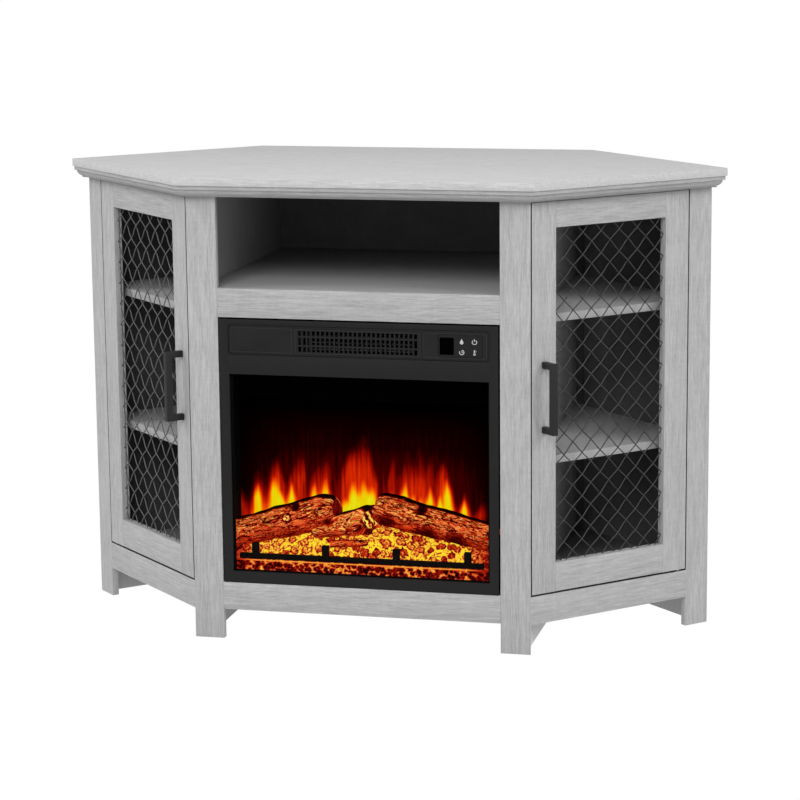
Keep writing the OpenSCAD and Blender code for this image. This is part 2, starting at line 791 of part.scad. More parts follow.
module log_set() color("#4A2B1C") in_body() for (l = LOGS) intersection() {
  log_shape(l);
  slab([-bed_half, 0, 0], [bed_half, bed_back + 1, chamber_z - inner_z]);
}

// Moulded bed of embers, hollowed where the logs lie
module ember_bed() color("#8A3A14") in_body() difference() {
  union() {
    translate([-bed_half, 0, 0]) rotate([90, 0, 90]) linear_extrude(2 * bed_half)
      polygon(BED);
    translate([mound_x[0], 0, 0]) rotate([90, 0, 90])
      linear_extrude(mound_x[1] - mound_x[0]) polygon(MOUND);
  }
  for (l = LOGS) log_shape(l);
}

// Bar across the front of the bed with four short uprights
module fire_grate() color(black_metal) in_body()
  translate([grate_shift, bed_front + 1, ledge_z]) {
    half = bed_half - grate_end;
    slab([-half, 0, 0], [half, grate_bar, grate_bar]);
    for (i = [-3:2:3]) translate([i * 0.29 * half - grate_post / 2, 0, grate_bar])
      cube([grate_post, grate_bar, grate_up]);
  }

module flame_screen() color("#3B2A22A0") place()
  slab([-bed_half, screen_y, inner_z], [bed_half, screen_y + screen_t, chamber_z]);

rotor_x0 = sheet - body_half + rotor_motor_l;
rotor_x1 = body_half - sheet - bearing_l;

// Spindle with groups of bright vanes that throw the moving light on the screen
module flame_rotor() color("#C8C8C4") place() union() {
  group = (rotor_x1 - rotor_x0 - vane_gap) / 4;
  root = rotor_shaft_r - vane_t;
  rod_x(rotor_x0 - shaft_in_motor + 1, rotor_x1 + bearing_l - 3, rotor_y, rotor_z,
    rotor_shaft_r);
  for (g = [0:3], k = [0:3])
    translate([rotor_x0 + vane_gap + g * group, rotor_y, rotor_z])
      rotate([k * 90 + g * 22.5, 0, 0]) translate([0, -vane_t / 2, root])
        cube([group - vane_gap, vane_t, rotor_r - root]);
}

module rotor_motor() color(steel) place() difference() {
  rod_x(sheet - body_half, rotor_x0, rotor_y, rotor_z, rotor_r + 2);
  rod_x(rotor_x0 - shaft_in_motor, rotor_x0 + 1, rotor_y, rotor_z,
    rotor_shaft_r + running_gap);
}

module led_board() color("#2F6B3C") in_body() union() {
  slab([-led_half, led_y, 0], [led_half, led_y + led_w, circuit_t]);
  for (i = [-6:6]) translate([i * led_half / 6.8, led_y + led_w / 2, circuit_t])
    cylinder(h = led_h, r = led_r);
}

// --- Fireplace insert: heater --------------------------------------------------

module duct_section(r, reach) union() {
  circle(r);
  translate([-reach, -r]) square([reach, 2 * r]);
}

// Extrudes a section drawn as [y, z] about the wheel's axis from x0 to x1
module across_wheel(x0, x1) translate([x0, wheel_y, wheel_z]) rotate([90, 0, 90])
  linear_extrude(x1 - x0) children();

module blower_casing() color(steel) place() difference() {
  union() {
    difference() {
      across_wheel(-casing_half, casing_half) duct_section(duct_r, wheel_y - duct_front);
      across_wheel(casing_wall - casing_half, casing_half - casing_wall)
        duct_section(duct_r - duct_wall, wheel_y - duct_front + 1);
    }
    for (x = [duct_foot - casing_half, casing_half - 2 * duct_foot])
      slab([x, wheel_y - wheel_r - duct_r, chamber_z + sheet],
        [x + duct_foot, wheel_y - wheel_r / 2, wheel_z - duct_r + duct_wall / 2]);
  }
  slab([duct_foot - casing_half, wheel_y, wheel_z + duct_r * 0.77],
    [casing_half - duct_foot, wheel_y + duct_r * 0.85, wheel_z + duct_r + 1]);
  for (x = [-casing_half - 1, casing_half - 2 * casing_wall])
    rod_x(x, x + 2 * casing_wall + 1, wheel_y, wheel_z, shaft_r + running_gap);
}

// Cross-flow wheel: end discs, a ring of blades and its shaft
module blower_wheel() color("#B5B8BA") place() union() {
  rod_x(-casing_half, casing_half + shaft_in_motor, wheel_y, wheel_z, shaft_r);
  for (x = [-wheel_l / 2, -disc_t / 2, wheel_l / 2 - disc_t])
    rod_x(x, x + disc_t, wheel_y, wheel_z, wheel_r);
  for (k = [0:15]) translate([-wheel_l / 2, wheel_y, wheel_z]) rotate([k * 22.5, 0, 0])
    translate([0, -blade_t / 2, wheel_r - blade_w - 0.5]) cube([wheel_l, blade_t, blade_w]);
}

module blower_motor() color(steel) place() difference() {
  rod_x(casing_half, casing_half + blower_motor_l, wheel_y, wheel_z, wheel_r - 2);
  rod_x(casing_half - 1, casing_half + shaft_in_motor + 2, wheel_y, wheel_z,
    shaft_r + running_gap);
}

// Heating rods between two mica end plates, in the mouth of the duct
module heating_element() color("#C9B79A") place() union() {
  reach = wheel_l / 2 - heater_setback;
  h = duct_r - duct_wall;
  y0 = duct_front + heater_setback;
  for (x = [-reach, reach - disc_t])
    slab([x, y0, wheel_z - h], [x + disc_t, y0 + heater_d, wheel_z + h]);
  for (y = [0.3, 0.7], z = [-1:1])
    rod_x(1 - reach, reach - 1, y0 + y * heater_d, wheel_z + z * heater_pitch, heater_rod_r);
}

module control_board() color("#2F6B3C") place() union() {
  x0 = casing_half + blower_motor_l + chip_gap;
  y1 = inner_y + circuit_t;
  slab([x0, inner_y, fascia_z0 - 4], [body_half - sheet - 4, y1, fascia_z1 + 3]);
  for (x = [x0 + chip_gap, x0 + 2 * chip_gap + chip_w])
    slab([x, y1, fascia_mid - 18], [x + chip_w, y1 + chip_d, fascia_mid - 18 + chip_h]);
  slab([x0 + 4 * chip_gap + 2 * chip_w, y1, fascia_mid - 8],
    [x0 + 4 * chip_gap + 2 * chip_w + terminal_w, y1 + terminal_w, fascia_mid + 16]);
}

top_panel();
front_cornice();
left_cornice();
right_cornice();
rear_cornice();
left_front_post();
right_front_post();
outer_posts();
left_divider();
right_divider();
left_wall_panel();
right_wall_panel();
back_panel();
centre_bottom();
side_bottoms();
media_shelf();
middle_rail();
front_apron();
side_aprons();
left_shelves();
right_shelves();
shelf_pins();
cam_locks();
hinge_pins();
door_catches();
left_door_stiles();
left_door_rails();
left_door_mesh();
left_mesh_strips();
left_handle();
left_pivot_bushes();
left_door_fixings();
right_door_stiles();
right_door_rails();
right_door_mesh();
right_mesh_strips();
right_handle();
right_pivot_bushes();
right_door_fixings();
insert_trim();
control_fascia();
vent_grille();
touch_panel();
glass_panel();
insert_housing();
rear_cover();
power_inlet();
insert_brackets();
log_set();
ember_bed();
fire_grate();
flame_screen();
flame_rotor();
rotor_motor();
led_board();
blower_casing();
blower_wheel();
blower_motor();
heating_element();
control_board();
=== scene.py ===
"""Corner media cabinet with an electric fireplace insert: the dressed model and its studio."""

import json
import math
import random

import bpy
import numpy as np
from mathutils import Matrix, Vector, noise


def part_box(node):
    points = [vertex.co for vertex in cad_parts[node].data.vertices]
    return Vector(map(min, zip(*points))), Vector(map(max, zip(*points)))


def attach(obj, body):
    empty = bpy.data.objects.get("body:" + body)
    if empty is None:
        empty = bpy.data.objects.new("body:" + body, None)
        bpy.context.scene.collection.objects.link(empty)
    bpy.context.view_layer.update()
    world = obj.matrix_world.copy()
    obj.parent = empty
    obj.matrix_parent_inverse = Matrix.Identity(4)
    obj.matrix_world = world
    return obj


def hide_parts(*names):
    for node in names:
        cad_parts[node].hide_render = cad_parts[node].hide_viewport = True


bl_info = {
    "name": "Corner Fireplace Cabinet",
    "version": (1, 0, 0),
    "blender": (4, 5, 0),
    "location": "3D View > Sidebar > Cabinet",
    "description": "Boards, wire doors, fireplace and studio of a corner media cabinet",
    "category": "Object",
}

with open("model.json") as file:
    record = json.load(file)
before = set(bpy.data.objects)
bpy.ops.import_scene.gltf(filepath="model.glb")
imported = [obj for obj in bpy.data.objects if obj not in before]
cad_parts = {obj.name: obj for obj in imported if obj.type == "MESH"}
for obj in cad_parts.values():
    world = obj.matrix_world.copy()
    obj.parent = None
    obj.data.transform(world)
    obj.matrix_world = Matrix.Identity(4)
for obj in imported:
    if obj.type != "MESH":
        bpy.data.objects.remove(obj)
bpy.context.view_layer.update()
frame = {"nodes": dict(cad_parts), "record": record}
NODES = frame["nodes"]
BODY = {n: b for b, names in frame["record"]["behaviour"]["bodies"].items() for n in names}

# The plane of the front face, and half its width between the arrises of the front posts
FRONT_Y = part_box("front_apron")[0].y
HALF_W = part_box("right_front_post")[1].x
# Each door lies in a frame of its own: X outwards along the face, Y behind it, Z up
RIGHT = Matrix.Translation((HALF_W, FRONT_Y, 0)) @ Matrix.Rotation(math.radians(45), 4, "Z")
LEFT = Matrix.Scale(-1, 4, (1, 0, 0)) @ RIGHT
# The inside front bottom corner of the insert's body
CHAMBER = Vector((0, FRONT_Y + 0.0102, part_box("ember_bed")[0].z))
# Directions of the grain
UP, ACROSS = (0, 0, 1), (1, 0, 0)
RIGHTWARD, LEFTWARD = (1, 1, 0), (-1, 1, 0)
WHITE = (1, 1, 1, 1)
# A length too small to see: points that are closer than this count as one
HAIR = 0.00001


def share(value):
    """A value kept between 0 and 1."""
    return max(0.0, min(1.0, value))


def lumps(x, y, z):
    """Smooth noise at a place, from about -1 to 1."""
    return noise.noise(Vector((x, y, z)))


def rgb(colour):
    """Linear RGBA of an sRGB hex colour, or of a property, whose value is linear already."""
    if not isinstance(colour, str):
        return tuple(colour)
    parts = [int(colour[i:i + 2], 16) / 255 for i in (1, 3, 5)]
    return tuple(c / 12.92 if c <= 0.04045 else ((c + 0.055) / 1.055) ** 2.4
                 for c in parts) + (1.0,)


def feed(tree, node, inputs):
    """Sets or links inputs of a node, given by name or in their order."""
    for name, value in inputs.items() if isinstance(inputs, dict) else enumerate(inputs):
        if isinstance(value, bpy.types.NodeSocket):
            tree.links.new(value, node.inputs[name])
        else:
            node.inputs[name].default_value = value


def add(tree, kind, inputs=(), out=0, stops=(), **settings):
    """Adds a shader node with its settings, values, links and ramp stops, and returns one
    of its outputs."""
    node = tree.nodes.new("ShaderNode" + kind)
    for name, value in settings.items():
        setattr(node, name, value)
    feed(tree, node, inputs)
    if stops:
        elements = node.color_ramp.elements
        while len(elements) < len(stops):
            elements.new(0.5)
        for element, (place, colour) in zip(elements, stops):
            element.position = place
            element.color = rgb(colour)
    return node.outputs[out]


def new_material(name, colour, surface):
    """A material with its shader's plain values set. Returns it, its tree and its shader."""
    made = bpy.data.materials.new(name)
    made.use_nodes = True
    made.diffuse_color = colour
    shader = made.node_tree.nodes["Principled BSDF"]
    feed(made.node_tree, shader, {"Base Color": colour, **surface})
    return made, made.node_tree, shader


# --- Finishes ---------------------------------------------------------------

# The span of a noise texture's values that a grain uses
GRAIN_SPAN = (0.3, 0.7)


def fibres(tree, place, scale, detail, rough=0.5, warp=0.0, shift=0.0):
    """Noise drawn out along a board or a log, with scale points per metre each way."""
    place = add(tree, "Mapping", {"Vector": place, "Scale": scale,
                                  "Location": (shift, shift, 0)})
    return add(tree, "TexNoise", {"Vector": place, "Scale": 1.0, "Detail": detail,
                                  "Roughness": rough, "Distortion": warp})


def oak_laminate(name, along, colour, contrast=1.0):
    """Printed oak-grain laminate, pressed with a matching relief and matt: fine fibres and
    an arched figure run along the board, with faint saw marks across them."""
    colour = rgb(colour)
    made, tree, shader = new_material(name, colour, {"Roughness": 0.62,
                                                     "Specular IOR Level": 0.2})
    turn = Vector(along).rotation_difference(Vector(UP)).to_euler()
    grain = add(tree, "Mapping", {"Vector": add(tree, "TexCoord", out="Object"),
                                  "Rotation": turn})
    # The arched figure: contour lines, about 5 mm apart, of a slow field
    field = fibres(tree, grain, (11, 11, 1.6), 1.0)
    arch = add(tree, "Math", (field, 130.0), operation="MULTIPLY")
    arch = add(tree, "Math", (arch,), operation="SINE")
    tone = add(tree, "Math", (arch, 0.028 * contrast, 1.0), operation="MULTIPLY_ADD")
    # Each layer: points per metre across and along the grain, and how far it moves the tone
    for across, down, detail, swing in ((540, 26, 2.5, 0.15), (1400, 110, 1.0, 0.09),
                                        (110, 6, 2.0, 0.035), (16, 210, 2.0, 0.025)):
        layer = fibres(tree, grain, (across, across, down), detail, 0.6)
        swing *= contrast
        part = add(tree, "MapRange", (layer, *GRAIN_SPAN, 1 - swing, 1 + swing))
        tone = add(tree, "Math", (tone, part), operation="MULTIPLY")
    feed(tree, shader, {
        "Base Color": add(tree, "VectorMath", {0: colour[:3], "Scale": tone},
                          operation="SCALE"),
        "Normal": add(tree, "Bump", {"Height": tone, "Strength": 0.3, "Distance": 0.0005})})
    return made


def inner_laminate_painted_shading(name, colour, dark, near=0.02, far=0.26, beside=None):
    """Smooth laminate of the inside faces, with painted shade. Behind the doors its tone sinks
    between two distances from the door's face, or moves there to beside, a painted light, close
    to the divider."""
    colour, dark = rgb(colour), rgb(dark)
    made, tree, shader = new_material(name, colour, {"Roughness": 0.7,
                                                     "Specular IOR Level": 0.15})
    place = add(tree, "TexCoord", out="Object")
    x, y, z = add(tree, "SeparateXYZ", (place,)).node.outputs
    wide = add(tree, "Math", (x,), operation="ABSOLUTE")
    behind = add(tree, "Math", (y, wide), operation="SUBTRACT")
    slope = math.sqrt(0.5)
    depth = add(tree, "Math", (behind, slope, (HALF_W - FRONT_Y) * slope),
                operation="MULTIPLY_ADD")
    cloud = add(tree, "TexNoise", {"Vector": place, "Scale": 9.0, "Detail": 3.0})
    depth = add(tree, "Math", (cloud, 0.03, depth), operation="MULTIPLY_ADD")
    # Painted shade: the tone sinks towards dark with the depth behind the door's face
    painted_shade_mix = add(tree, "MapRange", (depth, near, far), interpolation_type="SMOOTHERSTEP")
    # The painted shade only above the bottom boards, and from the dividers outwards
    for value, edge in ((z, 0.087), (wide, 0.279)):
        past = add(tree, "Math", (value, edge), operation="GREATER_THAN")
        painted_shade_mix = add(tree, "Math", (painted_shade_mix, past), operation="MULTIPLY")
    if beside:
        # The stretch over which the painted light beside the divider ends
        away = add(tree, "MapRange", (wide, 0.31, 0.46), interpolation_type="SMOOTHSTEP")
        dark = add(tree, "Mix", {0: away, 6: rgb(beside), 7: dark}, out=2, data_type="RGBA")
    mixed = add(tree, "Mix", {0: painted_shade_mix, 6: colour, 7: dark}, out=2, data_type="RGBA")
    # Fibres 3 mm wide, as on the outside but fainter
    grain = fibres(tree, place, (300, 300, 20), 2.0)
    tone = add(tree, "MapRange", (grain, *GRAIN_SPAN, 0.93, 1.05))
    feed(tree, shader, {"Base Color": add(tree, "VectorMath", {0: mixed, "Scale": tone},
                                          operation="SCALE")})
    return made


def plain_finish(name, colour, rough, speck_mm, shift=0.1, relief_mm=0.0, gloss=0.5,
                 metal=0.0, stretch=(1, 1, 1), more=None):
    """A plain finish whose grain is speck_mm wide: it moves colour, gloss and relief."""
    colour = rgb(colour)
    made, tree, shader = new_material(name, colour, {
        "Roughness": rough, "Specular IOR Level": gloss, "Metallic": metal, **(more or {})})
    place = add(tree, "Mapping", {"Vector": add(tree, "TexCoord", out="Object"),
                                  "Scale": stretch})
    speck = add(tree, "TexNoise", {"Vector": place, "Scale": 1000 / speck_mm, "Detail": 3.0})
    cloud = add(tree, "TexNoise", {"Vector": place, "Scale": 25.0, "Detail": 2.0})
    both = add(tree, "Math", (speck, cloud), operation="ADD")
    tone = add(tree, "MapRange", (both, 0.7, 1.3, 1 - shift, 1 + shift))
    feed(tree, shader, {
        "Base Color": add(tree, "VectorMath", {0: colour[:3], "Scale": tone},
                          operation="SCALE"),
        "Roughness": add(tree, "MapRange", (speck, *GRAIN_SPAN, rough * 0.88,
                                            min(1, rough * 1.1)))})
    if relief_mm:
        feed(tree, shader, {"Normal": add(tree, "Bump", {"Height": speck, "Strength": 0.5,
                                                         "Distance": relief_mm / 1000})})
    return made


LOG_STOPS = [(0.0, "#0C0000"), (0.14, "#4A0400"), (0.3, "#8C1204"), (0.45, "#C42C0A"),
             (0.6, "#DC5424"), (0.75, "#EA8A4C"), (0.88, "#F8C060"), (1.0, "#FCE458")]
EMBER_STOPS = [(0.0, "#0A0000"), (0.12, "#400400"), (0.3, "#8E1004"), (0.45, "#B82C14"),
               (0.6, "#D46428"), (0.75, "#EC9C38"), (0.88, "#F8CC30"), (1.0, "#F4E020")]
FLAME_STOPS = [(0.0, "#000000"), (0.08, "#140000"), (0.2, "#400000"), (0.32, "#8C0A00"),
               (0.44, "#CC2402"), (0.56, "#E85200"), (0.68, "#F08A00"), (0.8, "#EEBC04"),
               (0.92, "#E0D408"), (1.0, "#E6E020")]


def glowing_resin(name, heat_of, glow, strength):
    """Translucent resin lit from below and painted like charred wood or coals: the paint
    lets the light through in the cracks. heat_of builds the pattern in the tree."""
    made, tree, shader = new_material(name, rgb("#401004"), {"Roughness": 0.6,
                                                             "Specular IOR Level": 0.0})
    tint = add(tree, "ValToRGB", {"Fac": heat_of(tree)}, stops=glow)
    dim = add(tree, "VectorMath", {0: tint, "Scale": 0.12}, operation="SCALE")
    feed(tree, shader, {"Base Color": dim, "Emission Color": tint,
                        "Emission Strength": strength})
    return made


def painted_heat(tree):
    """The heat painted on the piece's own points."""
    return add(tree, "Attribute", out="Fac", attribute_name="warmth")


def bark_heat(tree):
    """Bark along the log: ridges 4 mm wide with bright crests and black cracks."""
    bark = add(tree, "Attribute", out="Vector", attribute_name="bark")
    ridge, crest, crack = [
        fibres(tree, bark, (along, across, across), 2.0, 0.55, warp, shift)
        for across, along, warp, shift in ((150, 45, 1.0, 0.0), (210, 46, 1.6, 3.0),
                                           (170, 30, 1.2, 7.0))]
    heat = add(tree, "MapRange", (ridge, 0.36, 0.64, 0.2, 0.68))
    for layer, level, rest, join in ((crest, 0.92, 0.0, "MAXIMUM"),
                                     (crack, 0.04, 1.0, "MULTIPLY")):
        line = add(tree, "Math", (layer, 0.5), operation="SUBTRACT")
        line = add(tree, "Math", (line,), operation="ABSOLUTE")
        line = add(tree, "MapRange", (line, 0.01, 0.05, level, rest))
        heat = add(tree, "Math", (heat, line), operation=join)
    return add(tree, "Math", (heat, painted_heat(tree)), operation="MULTIPLY")


# --- Working with meshes ------------------------------------------------------


def deselect():
    """Leaves edit mode with nothing selected."""
    if bpy.context.object and bpy.context.object.mode != "OBJECT":
        bpy.ops.object.mode_set(mode="OBJECT")
    bpy.ops.object.select_all(action="DESELECT")


def take(*pieces):
    """Selects only these pieces and makes the last one active."""
    deselect()
    for piece in pieces:
        piece.select_set(True)
    bpy.context.view_layer.objects.active = pieces[-1]


def edit(piece, mode="FACE", action="SELECT"):
    """Opens a piece in edit mode with everything selected, or with nothing."""
    take(piece)
    bpy.ops.object.mode_set(mode="EDIT")
    bpy.ops.mesh.select_mode(type=mode)
    bpy.ops.mesh.select_all(action=action)


def choose_edges(piece, test):
    """Opens a piece in edit mode with only the edges selected whose ends pass the test."""
    edit(piece, "EDGE", "DESELECT")
    bpy.ops.object.mode_set(mode="OBJECT")
    for edge in piece.data.edges:
        edge.select = all(test(piece.data.vertices[i].co) for i in edge.vertices)
    bpy.ops.object.mode_set(mode="EDIT")


def draw_out(step):
    """Extrudes what is selected by a step."""
    bpy.ops.mesh.extrude_region_move(TRANSFORM_OT_translate={"value": step})


def face_outwards(piece):
    """Turns all faces of a closed piece outwards and leaves edit mode."""
    edit(piece)
    bpy.ops.mesh.normals_make_consistent(inside=False)
    deselect()


def soften(piece, angle=30):
    """Smooth shading up to an angle between faces."""
    take(piece)
    bpy.ops.object.shade_smooth_by_angle(angle=math.radians(angle))


def named(name):
    """The active object, given this name."""
    piece = bpy.context.object
    piece.name = piece.data.name = name
    return piece


def settle(piece):
    """Applies a piece's place to its mesh, so that its object sits at the origin."""
    take(piece)
    bpy.ops.object.transform_apply(location=True, rotation=True, scale=True)


def copy_of(node, name):
    """A merged copy of a CAD node with whole flat faces."""
    piece = bpy.data.objects.new(name, NODES[node].data.copy())
    piece.data.name = name
    piece.data.materials.clear()
    bpy.context.collection.objects.link(piece)
    edit(piece)
    bpy.ops.mesh.customdata_custom_splitnormals_clear()
    bpy.ops.mesh.remove_doubles(threshold=0.000005)
    bpy.ops.mesh.dissolve_limited(angle_limit=math.radians(0.5))
    deselect()
    return piece


def round_edges(piece, width, segments=2):
    """Rounds every sharp edge of a piece."""
    edit(piece, "EDGE", "DESELECT")
    bpy.ops.mesh.edges_select_sharp(sharpness=math.radians(35))
    bpy.ops.mesh.bevel(offset=width, segments=segments, affect="EDGES", clamp_overlap=True)
    soften(piece)


def paint(piece, *finishes):
    """Gives a piece its finishes, all faces on the first."""
    piece.data.materials.clear()
    for finish in finishes:
        piece.data.materials.append(finish)


def paint_faces(piece, finish, test):
    """Adds a finish for those faces of a piece that pass the test."""
    piece.data.materials.append(finish)
    for face in piece.data.polygons:
        if test(face):
            face.material_index = len(piece.data.materials) - 1


def extra(piece, near):
    """A piece beside a CAD node: it rides on that node's body."""
    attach(piece, BODY[near])


def stand_for(piece, node):
    """A piece that takes the place of a CAD node as well."""
    extra(piece, node)
    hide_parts(node)


def paint_nodes(finish, *nodes):
    """Gives CAD nodes that are shown as they are their finish."""
    for node in nodes:
        paint(NODES[node], finish)


# --- Sizes and colours that a user would change ---------------------------------


def colour_of(name, place, usual):
    """A colour of the panel, with its place on the cabinet and its usual hex value."""
    return bpy.props.FloatVectorProperty(name=name, description="Colour of " + place,
                                         subtype="COLOR", size=4, default=rgb(usual))


def length_of(name, description, usual, low, high):
    """A length of the panel, in metres."""
    return bpy.props.FloatProperty(name=name, description=description, subtype="DISTANCE",
                                   unit="LENGTH", default=usual, min=low, max=high)


def strength_of(name, light, usual):
    """The strength of a light in the panel."""
    return bpy.props.FloatProperty(name=name, description="Strength of " + light,
                                   default=usual, min=0.0, max=5.0)


class BoardLook(bpy.types.PropertyGroup):
    """Finish of the boards."""
    laminate: colour_of("Laminate", "the oak-grain laminate outside", "#A8A8A8")
    # Painted light: the top is a shade paler than the sides, as light falls from above
    top: colour_of("Top", "the laminate on the top", "#C0C0C0")
    inside: colour_of("Inside", "the shelves at the front", "#A8A8A8")
    # Painted shade: the open bay is a shade darker than the shelves
    bay: colour_of("Bay", "the floor and sides of the open bay", "#999999")
    # Painted shade: the tones that the shelves and the dividers sink to far behind the doors
    deep_painted_shade: colour_of("Deep inside", "the shelves far from the front", "#646464")
    partition: colour_of("Dividers", "the dividers far from the front", "#868686")
    # Painted shade: the wall panels' inner faces, dark above the bottom boards
    left_lining_painted_shade: colour_of("Left lining", "the left wall panel inside", "#4E4E4E")
    right_lining_painted_shade: colour_of("Right lining", "the right wall panel inside", "#444444")
    # Painted light: the right divider's right face and the right shelves beside it, paler
    flank: colour_of("Right flank", "the right shelves close to the divider", "#D0D0D0")
    back: colour_of("Back", "the hardboard back", "#646464")
    # Painted shade in the narrow gaps round the doors
    edge: colour_of("Edges", "the edge band round the doors", "#505050")
    arris: length_of("Arris", "Rounding of the boards' edges", 0.0006, 0.0001, 0.002)


class DoorLook(bpy.types.PropertyGroup):
    """Wire panels and handles."""
    wire: length_of("Wire", "Diameter of the mesh wire", 0.002, 0.001, 0.003)
    pitch: length_of("Pitch", "Spacing of the wires, square to them", 0.02642, 0.015, 0.04)
    crimp: length_of("Crimp", "How far each wire swings to either side", 0.0014, 0.0, 0.002)
    # Painted light and shade: one wire, painted paler on the left door, darker on the right
    left_wire_painted_light: colour_of("Left wire", "the lacquered wire on the left", "#5C5C5C")
    right_wire_painted_shade: colour_of("Right wire", "the lacquered wire on the right", "#3C3C3C")
    handle_colour: colour_of("Handle colour", "the handles' powder coat", "#212121")


class FireLook(bpy.types.PropertyGroup):
    """The fireplace insert."""
    trim: colour_of("Trim", "the moulded front parts", "#202020")
    glow: strength_of("Glow", "the light in logs and embers", 1.0)
    # The painted light of the flames on the film
    flames: strength_of("Flames", "the flames on the film", 1.0)
    seed: bpy.props.IntProperty(
        name="Seed", description="Seed of the coals and flames", default=7, min=0, max=999)


class StudioLook(bpy.types.PropertyGroup):
    """Floor, lights and camera."""
    sky: strength_of("Sky", "the even white light from above", 0.55)
    floor: strength_of("Floor", "the light that the floor gives back", 0.74)
    softbox: bpy.props.FloatProperty(
        name="Softboxes", description="Power of the large lamp in front",
        subtype="POWER", unit="POWER", default=1705.0, min=0.0, max=5000.0)
    lens: bpy.props.FloatProperty(
        name="Lens", description="Focal length on a 36 mm wide sensor",
        default=120.94, min=20.0, max=300.0)


LOOKS = {"cabinet_boards": BoardLook, "cabinet_doors": DoorLook, "cabinet_fire": FireLook,
         "cabinet_studio": StudioLook}

# --- The pieces -------------------------------------------------------------------

# Node, piece and direction of its grain
BOARDS = [
    ("top_panel", "top_board", ACROSS), ("front_cornice", "front_moulding", ACROSS),
    ("left_cornice", "left_moulding", LEFTWARD),
    ("right_cornice", "right_moulding", RIGHTWARD), ("rear_cornice", "rear_moulding", None),
    ("left_front_post", "left_post_board", UP), ("right_front_post", "right_post_board", UP),
    ("outer_posts", "outer_post_boards", UP), ("left_wall_panel", "left_wall_board", UP),
    ("right_wall_panel", "right_wall_board", UP), ("middle_rail", "middle_rail_board", ACROSS),
    ("front_apron", "front_apron_board", ACROSS), ("side_aprons", "side_apron_boards", None),
    ("left_door_stiles", "left_stiles", UP), ("left_door_rails", "left_rails", LEFTWARD),
    ("right_door_stiles", "right_stiles", UP), ("right_door_rails", "right_rails", RIGHTWARD),
    ("left_mesh_strips", "left_beads", UP), ("right_mesh_strips", "right_beads", UP)]
INNER_BOARDS = [
    ("left_divider", "left_divider_board"), ("right_divider", "right_divider_board"),
    ("centre_bottom", "centre_bottom_board"), ("side_bottoms", "side_bottom_boards"),
    ("media_shelf", "media_shelf_board"), ("left_shelves", "left_shelf_boards"),
    ("right_shelves", "right_shelf_boards")]
# The gaps round a door in its own frame: at its two sides, and over the apron
SIDE_GAPS = ((-0.0005, 0.0027), (0.3244, 0.3276))
APRON_GAP = (0.0995, 0.104)
# A face whose normal has this much of a direction faces that way
FACING = 0.9


def board_grain(node, centre):
    """Direction of the grain of the two nodes that hold boards of several directions."""
    wall = node == "rear_cornice"
    if wall and abs(centre.x) < 0.3 and centre.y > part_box("back_panel")[0].y - 0.05:
        return ACROSS
    return RIGHTWARD if (centre.x > 0) != wall else LEFTWARD


def beside_door(face):
    """Whether a face lies in the narrow gap round a door."""
    door = (RIGHT if face.center.x > 0 else LEFT).inverted()
    s, _, z = door @ face.center
    side = door.to_3x3() @ face.normal
    if abs(side.z) > FACING:
        return APRON_GAP[0] < z < APRON_GAP[1]
    return abs(side.x) > FACING and z > 0.1 and any(a < s < b for a, b in SIDE_GAPS)


